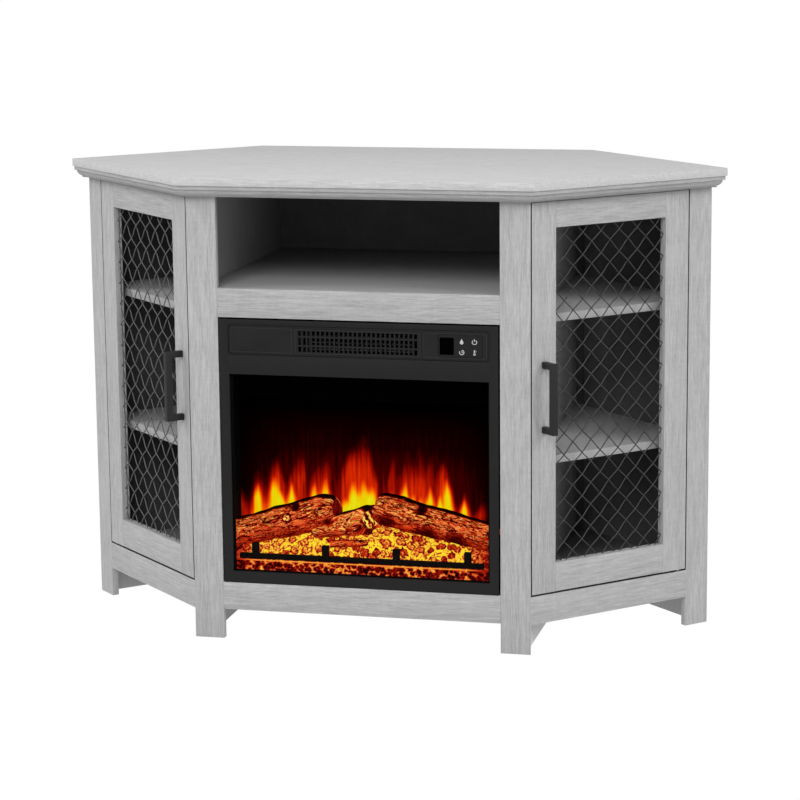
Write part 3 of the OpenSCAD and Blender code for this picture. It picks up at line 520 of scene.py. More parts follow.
class CABINET_OT_boards(bpy.types.Operator):
    """Rounds the arrises of the boards and lays the laminate along each of them"""
    bl_idname = "cabinet.boards"
    bl_label = "Boards"

    def execute(self, context):
        look = context.scene.cabinet_boards
        grains = {d: oak_laminate("Embossed oak laminate, " + name, d, look.laminate)
                  for d, name in ((UP, "upright"), (ACROSS, "across"),
                                  (RIGHTWARD, "along the right"), (LEFTWARD, "along the left"))}
        # Painted light: a paler laminate on the top, as light falls from above
        top = oak_laminate("Embossed oak laminate, top", ACROSS, look.top, 0.8)
        # Smooth laminate inside with painted shade, for the first of these words that a node's
        # name has
        inner = {
            "divider": inner_laminate_painted_shading("Smooth grey laminate with painted shade, dividers", look.bay,
                                      look.partition, -0.12, 0.2),
            "media": inner_laminate_painted_shading("Smooth grey laminate with painted shade, bay", look.bay, look.deep_painted_shade),
            # Painted light on the right shelves beside the divider, painted shade further out
            "right_shelves": inner_laminate_painted_shading("Smooth grey laminate with painted shade, right", look.inside,
                                            look.right_lining_painted_shade, beside=look.flank),
            "": inner_laminate_painted_shading("Smooth grey laminate with painted shade, pressed", look.inside, look.deep_painted_shade)}
        # Painted light on the right divider's right face
        flank = inner_laminate_painted_shading("Smooth laminate with painted light, right", look.flank, look.flank)
        # Painted shade on the inner faces of the wall panels, dark above the bottom boards:
        # each with the way that its inner face looks across
        linings = {
            "left_wall_panel": (1, inner_laminate_painted_shading(
                "Smooth laminate with painted shade, left", look.inside, look.left_lining_painted_shade, -2.0, -1.0)),
            "right_wall_panel": (-1, inner_laminate_painted_shading(
                "Smooth laminate with painted shade, right", look.inside, look.right_lining_painted_shade, -2.0, -1.0,
                look.partition))}
        # Painted shade in the narrow gaps round the doors: the edge band of the doors and of
        # the boards beside them, dull and a shade darker
        band = plain_finish("Grey PVC edge band with painted gap shade", look.edge, 0.7, 3.0, 0.08, gloss=0.1)
        for node, name, grain in BOARDS:
            piece = copy_of(node, name)
            round_edges(piece, look.arris)
            if "post" in node:
                # The painted gap shade starts at the apron
                edit(piece)
                bpy.ops.mesh.bisect(plane_co=(0, 0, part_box("side_aprons")[1].z), plane_no=UP)
                deselect()
            if grain:
                paint(piece, top if node == "top_panel" else grains[grain])
            else:
                paint(piece, *grains.values())
                for face in piece.data.polygons:
                    face.material_index = list(grains).index(board_grain(node, face.center))
            if node in linings:
                across, lining = linings[node]
                inward = Vector((across, -1, 0)).normalized()
                paint_faces(piece, lining, lambda face: face.normal.dot(inward) > FACING)
            elif any(word in node for word in ("door_", "post", "aprons")):
                # Painted shade on the faces in the gaps round the doors
                paint_faces(piece, band, beside_door)
            stand_for(piece, node)
        for node, name in INNER_BOARDS:
            piece = copy_of(node, name)
            round_edges(piece, look.arris)
            paint(piece, next(made for word, made in inner.items() if word in node))
            # The right divider's right face gets the painted light
            if node == "right_divider":
                paint_faces(piece, flank, lambda face: face.normal.x > FACING)
            stand_for(piece, node)
        # Hardboard with a printed face, brushed flat
        paint_nodes(plain_finish("Printed hardboard", look.back, 0.8, 3.0, 0.12, 0.05, 0.1),
                    "back_panel")
        return {"FINISHED"}


class CABINET_OT_hardware(bpy.types.Operator):
    """Finishes the pins, cams, catches, bushes, screws and brackets"""
    bl_idname = "cabinet.hardware"
    bl_label = "Hardware"

    def execute(self, context):
        # Zinc plate on steel, dull and slightly mottled
        paint_nodes(plain_finish("Zinc-plated steel", "#B4B7B9", 0.38, 2.0, 0.1, 0.02,
                                 metal=1.0),
                    "shelf_pins", "cam_locks", "hinge_pins", "left_door_fixings",
                    "right_door_fixings", "insert_brackets")
        # Moulded black plastic with a fine spark-eroded skin
        paint_nodes(plain_finish("Moulded black polypropylene", "#262627", 0.5, 1.0, 0.1, 0.04),
                    "door_catches")
        # Harder and smoother, as a bush has to be
        paint_nodes(plain_finish("Black nylon, moulded", "#202020", 0.5, 2.0, 0.04, 0.02),
                    "left_pivot_bushes", "right_pivot_bushes")
        return {"FINISHED"}


class CABINET_OT_wire_panels(bpy.types.Operator):
    """Weaves the wire panels of both doors from one crimped wire"""
    bl_idname = "cabinet.wire_panels"
    bl_label = "Wire panels"

    # A crossing where the wire that rises outwards lies in front, in each door's own frame
    CROSSING = {"right": (0.1476, 0.5222), "left": (0.2252, 0.7103)}
    # The opening of each door, and how far the wires run behind its edge
    LOW, HIGH, LAP = (0.0503, 0.1533), (0.2768, 0.721), 0.001
    # How far the weave lies behind the door's face, and the wires each side of its middle one
    DEPTH, HALF_COUNT = 0.0085, 13

    def one_wire(self, look, waves, steps=12):
        """A crimped wire along X that swings across Y, with a crest in front at X = 0."""
        swing = [look.crimp * math.cos(2 * math.pi * i / steps) for i in range(steps + 1)]
        deselect()
        bpy.ops.mesh.primitive_circle_add(vertices=8, radius=look.wire / 2,
                                          location=(0, -swing[0], 0),
                                          rotation=(0, math.pi / 2, 0))
        wire = bpy.context.object
        settle(wire)
        edit(wire, "EDGE")
        for before, after in zip(swing, swing[1:]):
            draw_out((2 * look.pitch / steps, before - after, 0))
        take(wire)
        row = wire.modifiers.new("Waves", "ARRAY")
        row.count = waves
        row.use_relative_offset = False
        row.use_constant_offset = True
        row.constant_offset_displace = (2 * look.pitch, 0, 0)
        row.use_merge_vertices = True
        row.merge_threshold = 2 * HAIR
        bpy.ops.object.modifier_apply(modifier=row.name)
        wire.data.transform(Matrix.Translation((-2 * look.pitch * (waves // 2), 0, 0)))
        return wire

    def weave(self, wire, side, look):
        """Copies the wire both ways over the opening and trims it to the rebate."""
        cell = look.pitch * math.sqrt(2)
        s0, z0 = self.CROSSING[side]
        middle = [(a + b) / 2 for a, b in zip(self.LOW, self.HIGH)]
        copies = []
        for turn, shift in ((-45, 0.0), (45, 0.5)):
            for k in range(-self.HALF_COUNT, self.HALF_COUNT + 1):
                s = s0 + (round((middle[0] - s0) / cell) + k + shift) * cell
                z = z0 + (round((middle[1] - z0) / cell) + shift) * cell
                copy = bpy.data.objects.new("wire", wire.data.copy())
                bpy.context.collection.objects.link(copy)
                copy.data.transform(Matrix.Translation((s, self.DEPTH, z))
                                    @ Matrix.Rotation(math.radians(turn), 4, "Y"))
                copies.append(copy)
        take(*copies)
        bpy.ops.object.join()
        panel = named(side + "_wire_panel")
        for axis in (0, 2):
            for sign, edge in ((-1, self.LOW), (1, self.HIGH)):
                place, normal = [0, 0, 0], [0, 0, 0]
                place[axis] = edge[axis // 2] + sign * self.LAP
                normal[axis] = sign
                edit(panel)
                bpy.ops.mesh.bisect(plane_co=place, plane_no=normal, use_fill=True,
                                    clear_outer=True)
        deselect()
        panel.data.transform(RIGHT if side == "right" else LEFT)
        face_outwards(panel)
        soften(panel, 60)
        return panel

    def execute(self, context):
        look = context.scene.cabinet_doors
        wire = self.one_wire(look, 18)
        for side, colour in (("left", look.left_wire_painted_light), ("right", look.right_wire_painted_shade)):
            panel = self.weave(wire, side, look)
            # Dipped lacquer on drawn steel wire: dark, with a soft sheen along each wire. One
            # wire, painted paler on the left door and darker on the right: painted light and
            # shade
            paint(panel, plain_finish("Lacquered steel wire, " + side, colour, 0.42, 1.5, 0.12,
                                      0.03, metal=0.35))
            stand_for(panel, side + "_door_mesh")
        bpy.data.objects.remove(wire)
        return {"FINISHED"}


class CABINET_OT_handles(bpy.types.Operator):
    """Rounds the edges of the square bar handles and powder-coats them"""
    bl_idname = "cabinet.handles"
    bl_label = "Handles"

    def execute(self, context):
        # Powder coat on die-cast zinc: matt with a fine orange peel
        coat = plain_finish("Black powder coat", context.scene.cabinet_doors.handle_colour,
                            0.5, 1.2, 0.08, 0.06, 0.25)
        for side in ("left", "right"):
            piece = copy_of(side + "_handle", side + "_bar_handle")
            round_edges(piece, 0.0009, 3)
            paint(piece, coat)
            stand_for(piece, side + "_handle")
        return {"FINISHED"}


def rounded_plate(name, low, high, corner, front, thick, hole=0.0):
    """A flat plate facing the front, with rounded corners, or a ring hole metres wide."""
    deselect()
    x, z = (low[0] + high[0]) / 2, (low[1] + high[1]) / 2
    bpy.ops.mesh.primitive_plane_add(size=1, location=(x, front, z),
                                     rotation=(math.pi / 2, 0, 0))
    plate = named(name)
    plate.scale = (high[0] - low[0], high[1] - low[1], 1)
    settle(plate)
    edit(plate, "VERT")
    bpy.ops.mesh.bevel(offset=corner, segments=6, affect="VERTICES")
    if hole:
        edit(plate)
        bpy.ops.mesh.inset(thickness=hole)
        bpy.ops.mesh.delete(type="FACE")
    edit(plate)
    draw_out((0, thick, 0))
    face_outwards(plate)
    soften(plate)
    return plate


class CABINET_OT_insert_front(bpy.types.Operator):
    """Builds the moulded trim, the fascia with its embossed outlines and the grille"""
    bl_idname = "cabinet.insert_front"
    bl_label = "Insert front"

    # Past this half width and height, the trim's sides carry painted shade, almost black
    RIM_X, RIM_Z = 0.238, 0.557

    def on_rim(self, face):
        """Whether a face of the trim is one of its outer sides."""
        outside = abs(face.center.x) > self.RIM_X or face.center.z > self.RIM_Z
        return outside and abs(face.normal.y) < 0.5

    def execute(self, context):
        look = context.scene.cabinet_fire
        # Moulded ABS with a fine satin texture
        satin = plain_finish("Satin black ABS, moulded", look.trim, 0.6, 0.8, 0.07, 0.03, 0.12)
        # The same plastic where the mould is polished, so that the outlines catch the light;
        # its colour is a shade paler too, a painted highlight
        edge = plain_finish("Polished black ABS with painted highlight", "#2C2C2C", 0.4, 0.8, 0.05, gloss=0.25)
        # Painted shade on the sides of the trim: dull and almost black
        rim = plain_finish("Black ABS with painted shade, moulded", "#040404", 0.8, 0.8, 0.05, gloss=0.0)
        for node, name, width, segments in (("insert_trim", "window_trim", 0.0008, 2),
                                            ("control_fascia", "fascia_tray", 0.0005, 2),
                                            ("vent_grille", "air_grille", 0.0003, 1)):
            piece = copy_of(node, name)
            round_edges(piece, width, segments)
            paint(piece, satin)
            if node == "insert_trim":
                # Painted shade on the trim's outer sides
                paint_faces(piece, rim, self.on_rim)
            stand_for(piece, node)
        low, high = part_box("control_fascia")
        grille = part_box("vent_grille")
        inset, gap = 0.0045, 0.004
        flat = (inset, 0.003, 0.00035, 0.0009)
        # Outlines beside the grille and round it: both sides, margin above and below, corner
        # radius, how far it stands proud, and width
        for name, near, x0, x1, margin, corner, proud, width in (
                ("left_outline", "control_fascia", low.x + inset, grille[0].x - gap, *flat),
                ("right_outline", "control_fascia", grille[1].x + gap, high.x - inset, *flat),
                ("grille_border", "vent_grille", -0.1083, 0.1083,
                 0.0046, 0.0006, 0.0010, 0.0010)):
            ring = rounded_plate(name, (x0, low.z + margin), (x1, high.z - margin), corner,
                                 low.y - proud, 0.0006, width)
            paint(ring, edge)
            extra(ring, near)
        # Tempered glass with a coating that keeps it from mirroring the room
        paint_nodes(plain_finish("Coated tempered glass", "#040404", 0.1, 40.0, 0.05, gloss=0.0,
                                 more={"Alpha": 0.02}), "glass_panel")
        return {"FINISHED"}


class CABINET_OT_touch_panel(bpy.types.Operator):
    """Builds the touch panel with its dark display and four generic symbols"""
    bl_idname = "cabinet.touch_panel"
    bl_label = "Touch panel"

    # The plane of the symbols, just before the panel
    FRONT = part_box("touch_panel")[0].y - 0.0001

    def arc(self, x, z, radius, band, start, sweep):
        """A flat arc, spun anticlockwise from a short face at the angle start."""
        deselect()
        start = math.radians(start)
        bpy.ops.mesh.primitive_plane_add(
            size=1, rotation=(math.pi / 2, -start, 0),
            location=(x + radius * math.cos(start), self.FRONT, z + radius * math.sin(start)))
        piece = bpy.context.object
        piece.scale = (band, HAIR, 1)
        settle(piece)
        edit(piece)
        bpy.ops.mesh.spin(steps=20, angle=math.radians(sweep), center=(x, self.FRONT, z),
                          axis=(0, 1, 0))
        edit(piece)
        bpy.ops.mesh.remove_doubles(threshold=2 * HAIR)
        deselect()
        return piece

    def bar(self, x, z, width, height):
        """A flat bar with rounded ends."""
        return rounded_plate("bar", (x - width / 2, z - height / 2),
                             (x + width / 2, z + height / 2), min(width, height) * 0.49,
                             self.FRONT, 0.00012)

    def drop(self, x, z, size):
        """A flame drop: a disc drawn up to a point."""
        deselect()
        bpy.ops.mesh.primitive_circle_add(vertices=32, radius=size, fill_type="NGON",
                                          location=(x, self.FRONT, z),
                                          rotation=(math.pi / 2, 0, 0))
        piece = bpy.context.object
        settle(piece)
        for v in piece.data.vertices:
            rise = max(0.0, (v.co.z - z) / size)
            v.co.x = x + (v.co.x - x) * (1 - rise) ** 0.4
            v.co.z += 0.9 * size * rise ** 1.5
        return piece

    def execute(self, context):
        panel = copy_of("touch_panel", "touch_plate")
        round_edges(panel, 0.0003)
        # Cast acrylic, printed black behind and polished in front
        paint(panel, plain_finish("Black acrylic, polished", "#1E1E1E", 0.25, 2.0, 0.05,
                                  gloss=0.15))
        stand_for(panel, "touch_panel")
        display = rounded_plate("display_window", (0.1404, 0.5088), (0.1647, 0.538), 0.002,
                                self.FRONT, 0.0003)
        # Tinted window, so dull that the unlit display stays black
        paint(display, plain_finish("Dark display window", "#020202", 0.6, 2.0, gloss=0.0))
        extra(display, "touch_panel")
        # Screen-printed ink, matt and pale
        ink = plain_finish("Grey printed symbols", "#B9B9B9", 0.5, 0.6, 0.06, gloss=0.2)
        # The middles of the two columns and the two rows
        left, right, high, low = 0.178, 0.1997, 0.5312, 0.5136
        symbols = [
            ("flame_symbol", [self.drop(left, high - 0.001, 0.0031)]),
            ("power_symbol", [self.arc(right, high, 0.0038, 0.0012, 125, 290),
                              self.bar(right, high + 0.003, 0.0012, 0.0046)]),
            ("timer_symbol", [self.arc(left, low, 0.0038, 0.0013, 150, 290),
                              self.bar(left, low + 0.0011, 0.0011, 0.0034),
                              self.bar(left + 0.001, low, 0.0030, 0.0011)]),
            ("heat_symbol", [self.arc(right, low - 0.0027, 0.0013, 0.0014, 0, 360),
                             self.bar(right, low + 0.0014, 0.0021, 0.0062),
                             self.bar(right + 0.0028, low + 0.002, 0.0018, 0.0008)])]
        for name, parts in symbols:
            take(*parts)
            bpy.ops.object.join()
            symbol = named(name)
            edit(symbol)
            draw_out((0, 0.0001, 0))
            face_outwards(symbol)
            paint(symbol, ink)
            extra(symbol, "touch_panel")
        return {"FINISHED"}


def write_points(piece, name, kind, values):
    """Stores one value or vector for each point of a piece."""
    layer = piece.data.attributes.new(name, kind, "POINT")
    layer.data.foreach_set("vector" if kind == "FLOAT_VECTOR" else "value",
                           np.asarray(values, dtype=np.float32).ravel())


class CABINET_OT_logs(bpy.types.Operator):
    """Models the moulded logs: knotty bark, blunt broken ends and a split middle log"""
    bl_idname = "cabinet.logs"
    bl_label = "Logs"

    # Name, start and end of the axis from the chamber's corner, both radii, the length over
    # which the end is rounded, how much its cut faces the front, and how bright it glows
    LOGS = [
        ("left_log", (-0.2310, 0.039, 0.0755), (-0.0520, 0.039, 0.1245), 0.026, 0.0300, 0.028,
         0.2, 1.0),
        ("right_log", (0.2310, 0.039, 0.0835), (0.0175, 0.039, 0.1320), 0.0245, 0.0285, 0.026,
         0.0, 1.0),
        ("middle_log", (-0.090, 0.030, 0.0885), (0.008, 0.033, 0.1105), 0.015, 0.0255, 0.004,
         0.95, 1.2),
        ("low_branch", (-0.060, 0.024, 0.066), (0.006, 0.020, 0.071), 0.0070, 0.0055, 0.005,
         0.0, 0.9)]
    # Knots, burnt notches and shaded spots on the front: across and up, half width, and
    # their rings as (share of the half width, brightness)
    KNOT = ((0.22, 0.5), (0.55, 1.7), (0.8, 0.2), (1.0, 0.9))
    NOTCH = ((0.7, 0.05), (1.0, 0.4))
    SHADE = ((0.6, 0.35), (1.0, 0.6))
    MARKS = [(-0.134, 0.213, 0.0115, KNOT), (-0.120, 0.231, 0.0085, NOTCH),
             (0.102, 0.235, 0.0095, NOTCH), (-0.010, 0.238, 0.0080, NOTCH),
             (0.040, 0.213, 0.0170, SHADE), (-0.060, 0.207, 0.0090, SHADE),
             (0.110, 0.192, 0.0200, SHADE), (0.160, 0.182, 0.0200, SHADE)]
    # Length of one ring of faces; the rings of a cap; where along the log its cap starts
    RING, CAP_RINGS, CAP_FROM = 0.0017, 7, 0.98

    def one_log(self, name, start, end, r0, r1, rounded, slant, glow, seed):
        """A log along its axis: rings extruded from a disc, then shaped point by point."""
        start, end = CHAMBER + Vector(start), CHAMBER + Vector(end)
        length = (end - start).length
        rings = round(length / self.RING)
        deselect()
        bpy.ops.mesh.primitive_circle_add(
            vertices=round(7.2 * math.sqrt(max(r0, r1) * 5000)), radius=1, fill_type="NGON",
            rotation=(0, math.pi / 2, 0))
        log = named(name)
        settle(log)
        edit(log)
        for _ in range(self.CAP_RINGS):
            bpy.ops.mesh.inset(thickness=0.13)
        bpy.ops.mesh.select_all(action="SELECT")
        for _ in range(rings):
            draw_out((1 / rings, 0, 0))
        face_outwards(log)
        bark, heat = [], []
        for v in log.data.vertices:
            u, a = v.co.x, math.atan2(v.co.z, v.co.y)
            out = math.hypot(v.co.y, v.co.z)
            skin = Vector((u * length, math.cos(a) * r0, math.sin(a) * r0))
            bark.append(Vector((u * length, v.co.y * r0, v.co.z * r0)))
            ridge = lumps(skin.x * 60, skin.y * 170, skin.z * 170 + seed)
            # The radius: slow lumps and a hump near a thick end, ridges, and the rounded end
            rest = (1 - u) * length / rounded
            hump = 0.08 * math.exp(-(rest - 1.3) ** 2) * max(0.0, math.sin(a))
            radius = r0 + (r1 - r0) * u
            radius *= (1 + 0.09 * lumps(*(skin * 26 + Vector((seed, 0, 0))))
                       + (hump if rounded > 0.01 else 0.0))
            radius += 0.0013 * ridge
            radius *= 0.6 + 0.4 * math.sqrt(max(0.0, 1 - max(0.0, 1 - rest) ** 2))
            # The glow: dark along the top's rim, dimmer underneath
            top = math.sin(a) * (1 if out > 0.99 else out)
            rim = 1.0 - share((top - 0.9 + 0.06 * ridge) / 0.05)
            under = share((top + 1.0) / 1.2)
            face = 0.003 * lumps(v.co.y * 3, v.co.z * 3, seed + 9)
            if u <= self.CAP_FROM or out >= 0.995:
                heat.append(glow * rim * (0.45 + 0.55 * under))
            elif slant > 0.5:
                # Split end: pale stripes from top to bottom
                bark[-1] = Vector((v.co.z * r0 * 0.6, v.co.y * r0 * 1.3, 0.2))
                stripe = math.sin(v.co.y * 10 + 3.5 * v.co.z)
                heat.append((2.4 if stripe > 0.2 else 0.9 if stripe > -0.4 else 0.35) * rim)
            else:
                heat.append(0.4 * glow * rim)
            cut = slant * v.co.y * radius * max(0.0, 1 - (1 - u) * length / 0.045)
            v.co = (u * length + cut + (face if u > self.CAP_FROM else 0), v.co.y * radius,
                    v.co.z * radius)
        axis = (end - start).normalized()
        side = Vector(UP).cross(axis).normalized()
        turned = Matrix((axis, side, axis.cross(side))).transposed().to_4x4()
        log.data.transform(Matrix.Translation(start) @ turned)
        for i, v in enumerate(log.data.vertices):
            for x, z, wide, levels in self.MARKS:
                w = math.hypot(v.co.x - x, (v.co.z - z) * 1.2) / wide
                if w < 1:
                    heat[i] *= next(level for edge, level in levels if w < edge)
        write_points(log, "bark", "FLOAT_VECTOR", bark)
        write_points(log, "warmth", "FLOAT", heat)
        face_outwards(log)
        soften(log, 60)
        return log

    def execute(self, context):
        resin = glowing_resin("Painted log resin, cast", bark_heat, LOG_STOPS,
                              context.scene.cabinet_fire.glow)
        logs = [self.one_log(*row, 3.0 * i) for i, row in enumerate(self.LOGS)]
        for log in logs:
            paint(log, resin)
            extra(log, "log_set")
        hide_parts("log_set")
        return {"FINISHED"}


class CABINET_OT_embers(bpy.types.Operator):
    """Models the bed of coals: one moulded skin of lumps with bright ground between them"""
    bl_idname = "cabinet.embers"
    bl_label = "Embers"

    # Section from the bottom front edge to the back, as (behind the front, up), and the
    # higher section of the heap in the middle
    BED = [(0.001, 0.0), (0.001, 0.039), (0.012, 0.039), (0.025, 0.061), (0.046, 0.083),
           (0.069, 0.083)]
    HEAP = [(0.001, 0.0), (0.001, 0.039), (0.013, 0.040), (0.022, 0.070), (0.036, 0.092),
            (0.069, 0.097)]
    # Half the width, the side of one face, and the length of skin up the front and over it
    HALF, STEP, TURN = 0.2313, 0.0012, 0.041

    def along(self, section, t):
        """Point at the share t of each span of a section, t from 0 to its last span."""
        i = min(int(t), len(section) - 2)
        a, b = section[i], section[i + 1]
        return Vector((0, a[0] + (b[0] - a[0]) * (t - i), a[1] + (b[1] - a[1]) * (t - i)))

    def scatter(self, dice, length):
        """Coals on a shaken grid: across, along the skin, radius and tint. They are small
        below the bar and large above it."""
        coals = []
        for size, t0, t1 in ((0.009, 0.0, 0.037), (0.0172, 0.051, length)):
            t, odd = t0, 0
            while t < t1 + size:
                x = -self.HALF + (size / 2) * (odd % 2)
                while x < self.HALF + size:
                    coals.append((x + dice.uniform(-0.3, 0.3) * size,
                                  t + dice.uniform(-0.3, 0.3) * size,
                                  dice.uniform(0.34, 0.60) * size, dice.random()))
                    x += size
                t, odd = t + size * 0.86, odd + 1
        return np.array(coals)

    def heat(self, x, along, q, tint, swell):
        """Brightness of the skin, q radii from the middle of the nearest coal."""
        fine = lumps(x * 330, along * 330, 8.0)
        crack = abs(lumps(x * 120, along * 150, 3.0))
        far = share((abs(x + 0.004) - 0.186) / 0.045)
        if along < self.TURN:
            h = 0.02 + 0.16 * tint if q < 0.85 else 0.2 + 0.5 * min(1.0, (q - 0.85) / 0.4)
            h += 0.32 * fine + 0.1 * swell
            # A bright edge under the bar
            if along > 0.036:
                h = max(h, 0.9 - abs(along - 0.0375) / 0.003)
            return share(h * (1 - 0.7 * far))
        if q < 0.74:
            ring = 0.3 if 0.28 < q < 0.44 and tint > 0.45 else 0.0
            h = 0.30 + 0.36 * tint + 0.44 * fine + ring
        elif q < 0.9:
            h = 0.04 + 0.16 * tint
        else:
            h = 0.90 + 0.2 * fine + 0.15 * swell - (0.6 if crack < 0.05 else 0.0)
        if along < 0.047:
            h = max(h, 0.95)
        return share(h * (1 - 0.62 * far ** 0.8))

    def close(self, bed, back):
        """Closes the skin: down the back, then the bottom, then each end."""
        rear = sum(v.co.y > back - HAIR for v in bed.data.vertices)
        choose_edges(bed, lambda p: p.y > back - HAIR)
        draw_out((0, 0, -0.05))
        deselect()
        for v in bed.data.vertices[-rear:]:
            v.co.z = CHAMBER.z
        choose_edges(bed, lambda p: p.z < CHAMBER.z + HAIR)
        bpy.ops.mesh.bridge_edge_loops()
        for side in (-1, 1):
            choose_edges(bed, lambda p: side * p.x > self.HALF - HAIR)
            bpy.ops.mesh.edge_face_add()
        face_outwards(bed)

    def execute(self, context):
        look = context.scene.cabinet_fire
        spans = [math.dist(a, b) for a, b in zip(self.BED, self.BED[1:])]
        rows = [i + k / n for i, s in enumerate(spans)
                for n in [max(3, round(s / self.STEP))] for k in range(n)] + [float(len(spans))]
        starts = [0.0]
        for s in spans:
            starts.append(starts[-1] + s)
        coals = self.scatter(random.Random(look.seed), starts[-1])
        deselect()
        bpy.ops.mesh.primitive_grid_add(x_subdivisions=round(2 * self.HALF / self.STEP),
                                        y_subdivisions=len(rows) - 1, size=2)
        bed = named("ember_heap")
        heat = []
        for v in bed.data.vertices:
            row = round((v.co.y + 1) / 2 * (len(rows) - 1))
            t = rows[row]
            i = min(int(t), len(spans) - 1)
            x, along = v.co.x * self.HALF, starts[i] + (t - i) * spans[i]
            heap = max(0.0, 1 - ((x + 0.020) / 0.100) ** 4) ** 0.6
            spot = self.along(self.BED, t).lerp(self.along(self.HEAP, t), heap)
            swell = lumps(x * 22, along * 30, 2.0)
            shake = 0.0035 * lumps(x * 160, along * 160, 5.0)
            d = np.hypot(coals[:, 0] - x - shake, (coals[:, 1] - along + shake) * 1.15)
            d /= coals[:, 2]
            q, tint = d.min(), coals[int(np.argmin(d))][3]
            heat.append(self.heat(x, along, q, tint, swell))
            if along >= self.TURN:
                # Above the front the coals stand proud and the bed swells
                inside = row not in (0, len(rows) - 1)
                rise = 0.0022 * math.sqrt(max(0.0, 1 - q * q)) if inside else 0.0
                spot = spot + Vector((0, -0.45, 0.9)) * rise + Vector((0, 0, 0.003 * swell))
            v.co = CHAMBER + Vector((x, max(spot.y, 0.0008), spot.z))
        write_points(bed, "warmth", "FLOAT", heat)
        self.close(bed, max(v.co.y for v in bed.data.vertices))
        soften(bed, 50)
        paint(bed, glowing_resin("Painted ember resin, moulded", painted_heat, EMBER_STOPS,
                                 look.glow))
        stand_for(bed, "ember_bed")
        grate = copy_of("fire_grate", "grate_bar")
        round_edges(grate, 0.0006)
        # Matt black stove paint on a plastic bar
        paint(grate, plain_finish("Matt stove paint", "#0B0908", 0.85, 1.0, 0.15, 0.05, 0.05))
        stand_for(grate, "fire_grate")
        return {"FINISHED"}


class CABINET_OT_flames(bpy.types.Operator):
    """Paints the light of the flames on a glowing film in front of the smoked screen"""
    bl_idname = "cabinet.flames"
    bl_label = "Flames"

    # Tongues: middle, tip, top of the yellow core, half width and lean, in millimetres
    TONGUES = [
        (-228, 244, 170, 9, -2), (-202, 276, 249, 10, 1), (-173, 300, 262, 11, 2),
        (-158, 292, 237, 7, -2), (-143, 296, 252, 9, 3), (-124, 316, 205, 8, 1),
        (-102, 292, 252, 10, 2), (-81, 312, 262, 10, 1), (-46, 316, 228, 13, 3),
        (-31, 308, 258, 9, 1), (-12, 340, 262, 13, 0), (4, 310, 250, 11, -2),
        (36, 316, 244, 8, 2), (58, 322, 262, 9, 3), (74, 300, 240, 6, 1),
        (88, 326, 236, 7, 0), (104, 316, 256, 9, 1), (121, 300, 240, 6, 2),
        (138, 302, 270, 9, -3), (163, 262, 236, 9, 2), (188, 240, 190, 9, 3)]
    # The height at which the tongues start, and how far past its tip a tongue fades out
    FOOT, FADE = 170, 1.16
    # Bottom and height of the film, and the width and height of one face, in metres
    BOTTOM, HEIGHT, ACROSS_STEP, UP_STEP = 0.160, 0.250, 0.0020, 0.0024

    def heat(self, x, z):
        """Brightness of the film at a place, in millimetres."""
        drift = 3.5 * lumps(x / 26, z / 38, 1.0)
        streak = lumps(x / 3.6, z / 55, 6.0)
        body = core = 0.0
        for middle, tip, top, wide, lean in self.TONGUES:
            s = max(0.0, (z - self.FOOT) / (tip - self.FOOT))
            off = x - middle - lean * 3 * s * s - drift
            if s < self.FADE:
                spread = wide * (0.5 + 0.5 * (1 - s / self.FADE) ** 0.4)
                body += (math.exp(-0.5 * (off / spread) ** 2)
                         * min(1.0, (self.FADE - s) / 0.48) ** 1.1)
            if z < top + 12:
                c = (top + 12 - z) / max(1, top + 12 - self.FOOT)
                core += (math.exp(-0.5 * (off / (1.0 + wide * 1.15 * c ** 0.8)) ** 2)
                         * min(1.0, c / 0.3))
        haze = math.exp(-((x + 5) / 200) ** 6) * (0.23 * share((330 - z) / 110)
                                                  + 0.085 * share((400 - z) / 60))
        red = 0.46 * math.tanh(1.1 * body) * (1 + 0.34 * streak)
        return min(1.0, max(red, haze * (1 + 0.5 * streak)) + 0.5 * min(1.0, 1.1 * core))

    def execute(self, context):
        low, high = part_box("flame_screen")
        width = high.x - low.x
        deselect()
        bpy.ops.mesh.primitive_grid_add(
            x_subdivisions=round(width / self.ACROSS_STEP),
            y_subdivisions=round(self.HEIGHT / self.UP_STEP), size=1,
            location=(0, low.y - 0.0006, self.BOTTOM + self.HEIGHT / 2),
            rotation=(math.pi / 2, 0, 0))
        film = named("painted_flame_light")
        film.scale = (width, self.HEIGHT, 1)
        settle(film)
        write_points(film, "warmth", "FLOAT",
                     [self.heat(v.co.x * 1000, v.co.z * 1000) for v in film.data.vertices])
        # Its rim is drawn back and filled
        edit(film, "EDGE", "DESELECT")
        bpy.ops.mesh.select_non_manifold(extend=False)
        draw_out((0, 0.0003, 0))
        bpy.ops.mesh.edge_face_add()
        face_outwards(film)
        # Painted light: the film's glow stands for the flames' light on the screen
        paint(film, glowing_resin("Flame light painted on a film", painted_heat, FLAME_STOPS,
                                  context.scene.cabinet_fire.flames))
        extra(film, "flame_screen")
        # Smoked acrylic, matt behind, almost black in the unlit parts
        paint_nodes(plain_finish("Smoked acrylic, cast", "#040303", 0.5, 30.0, 0.2, gloss=0.0),
                    "flame_screen")
        return {"FINISHED"}


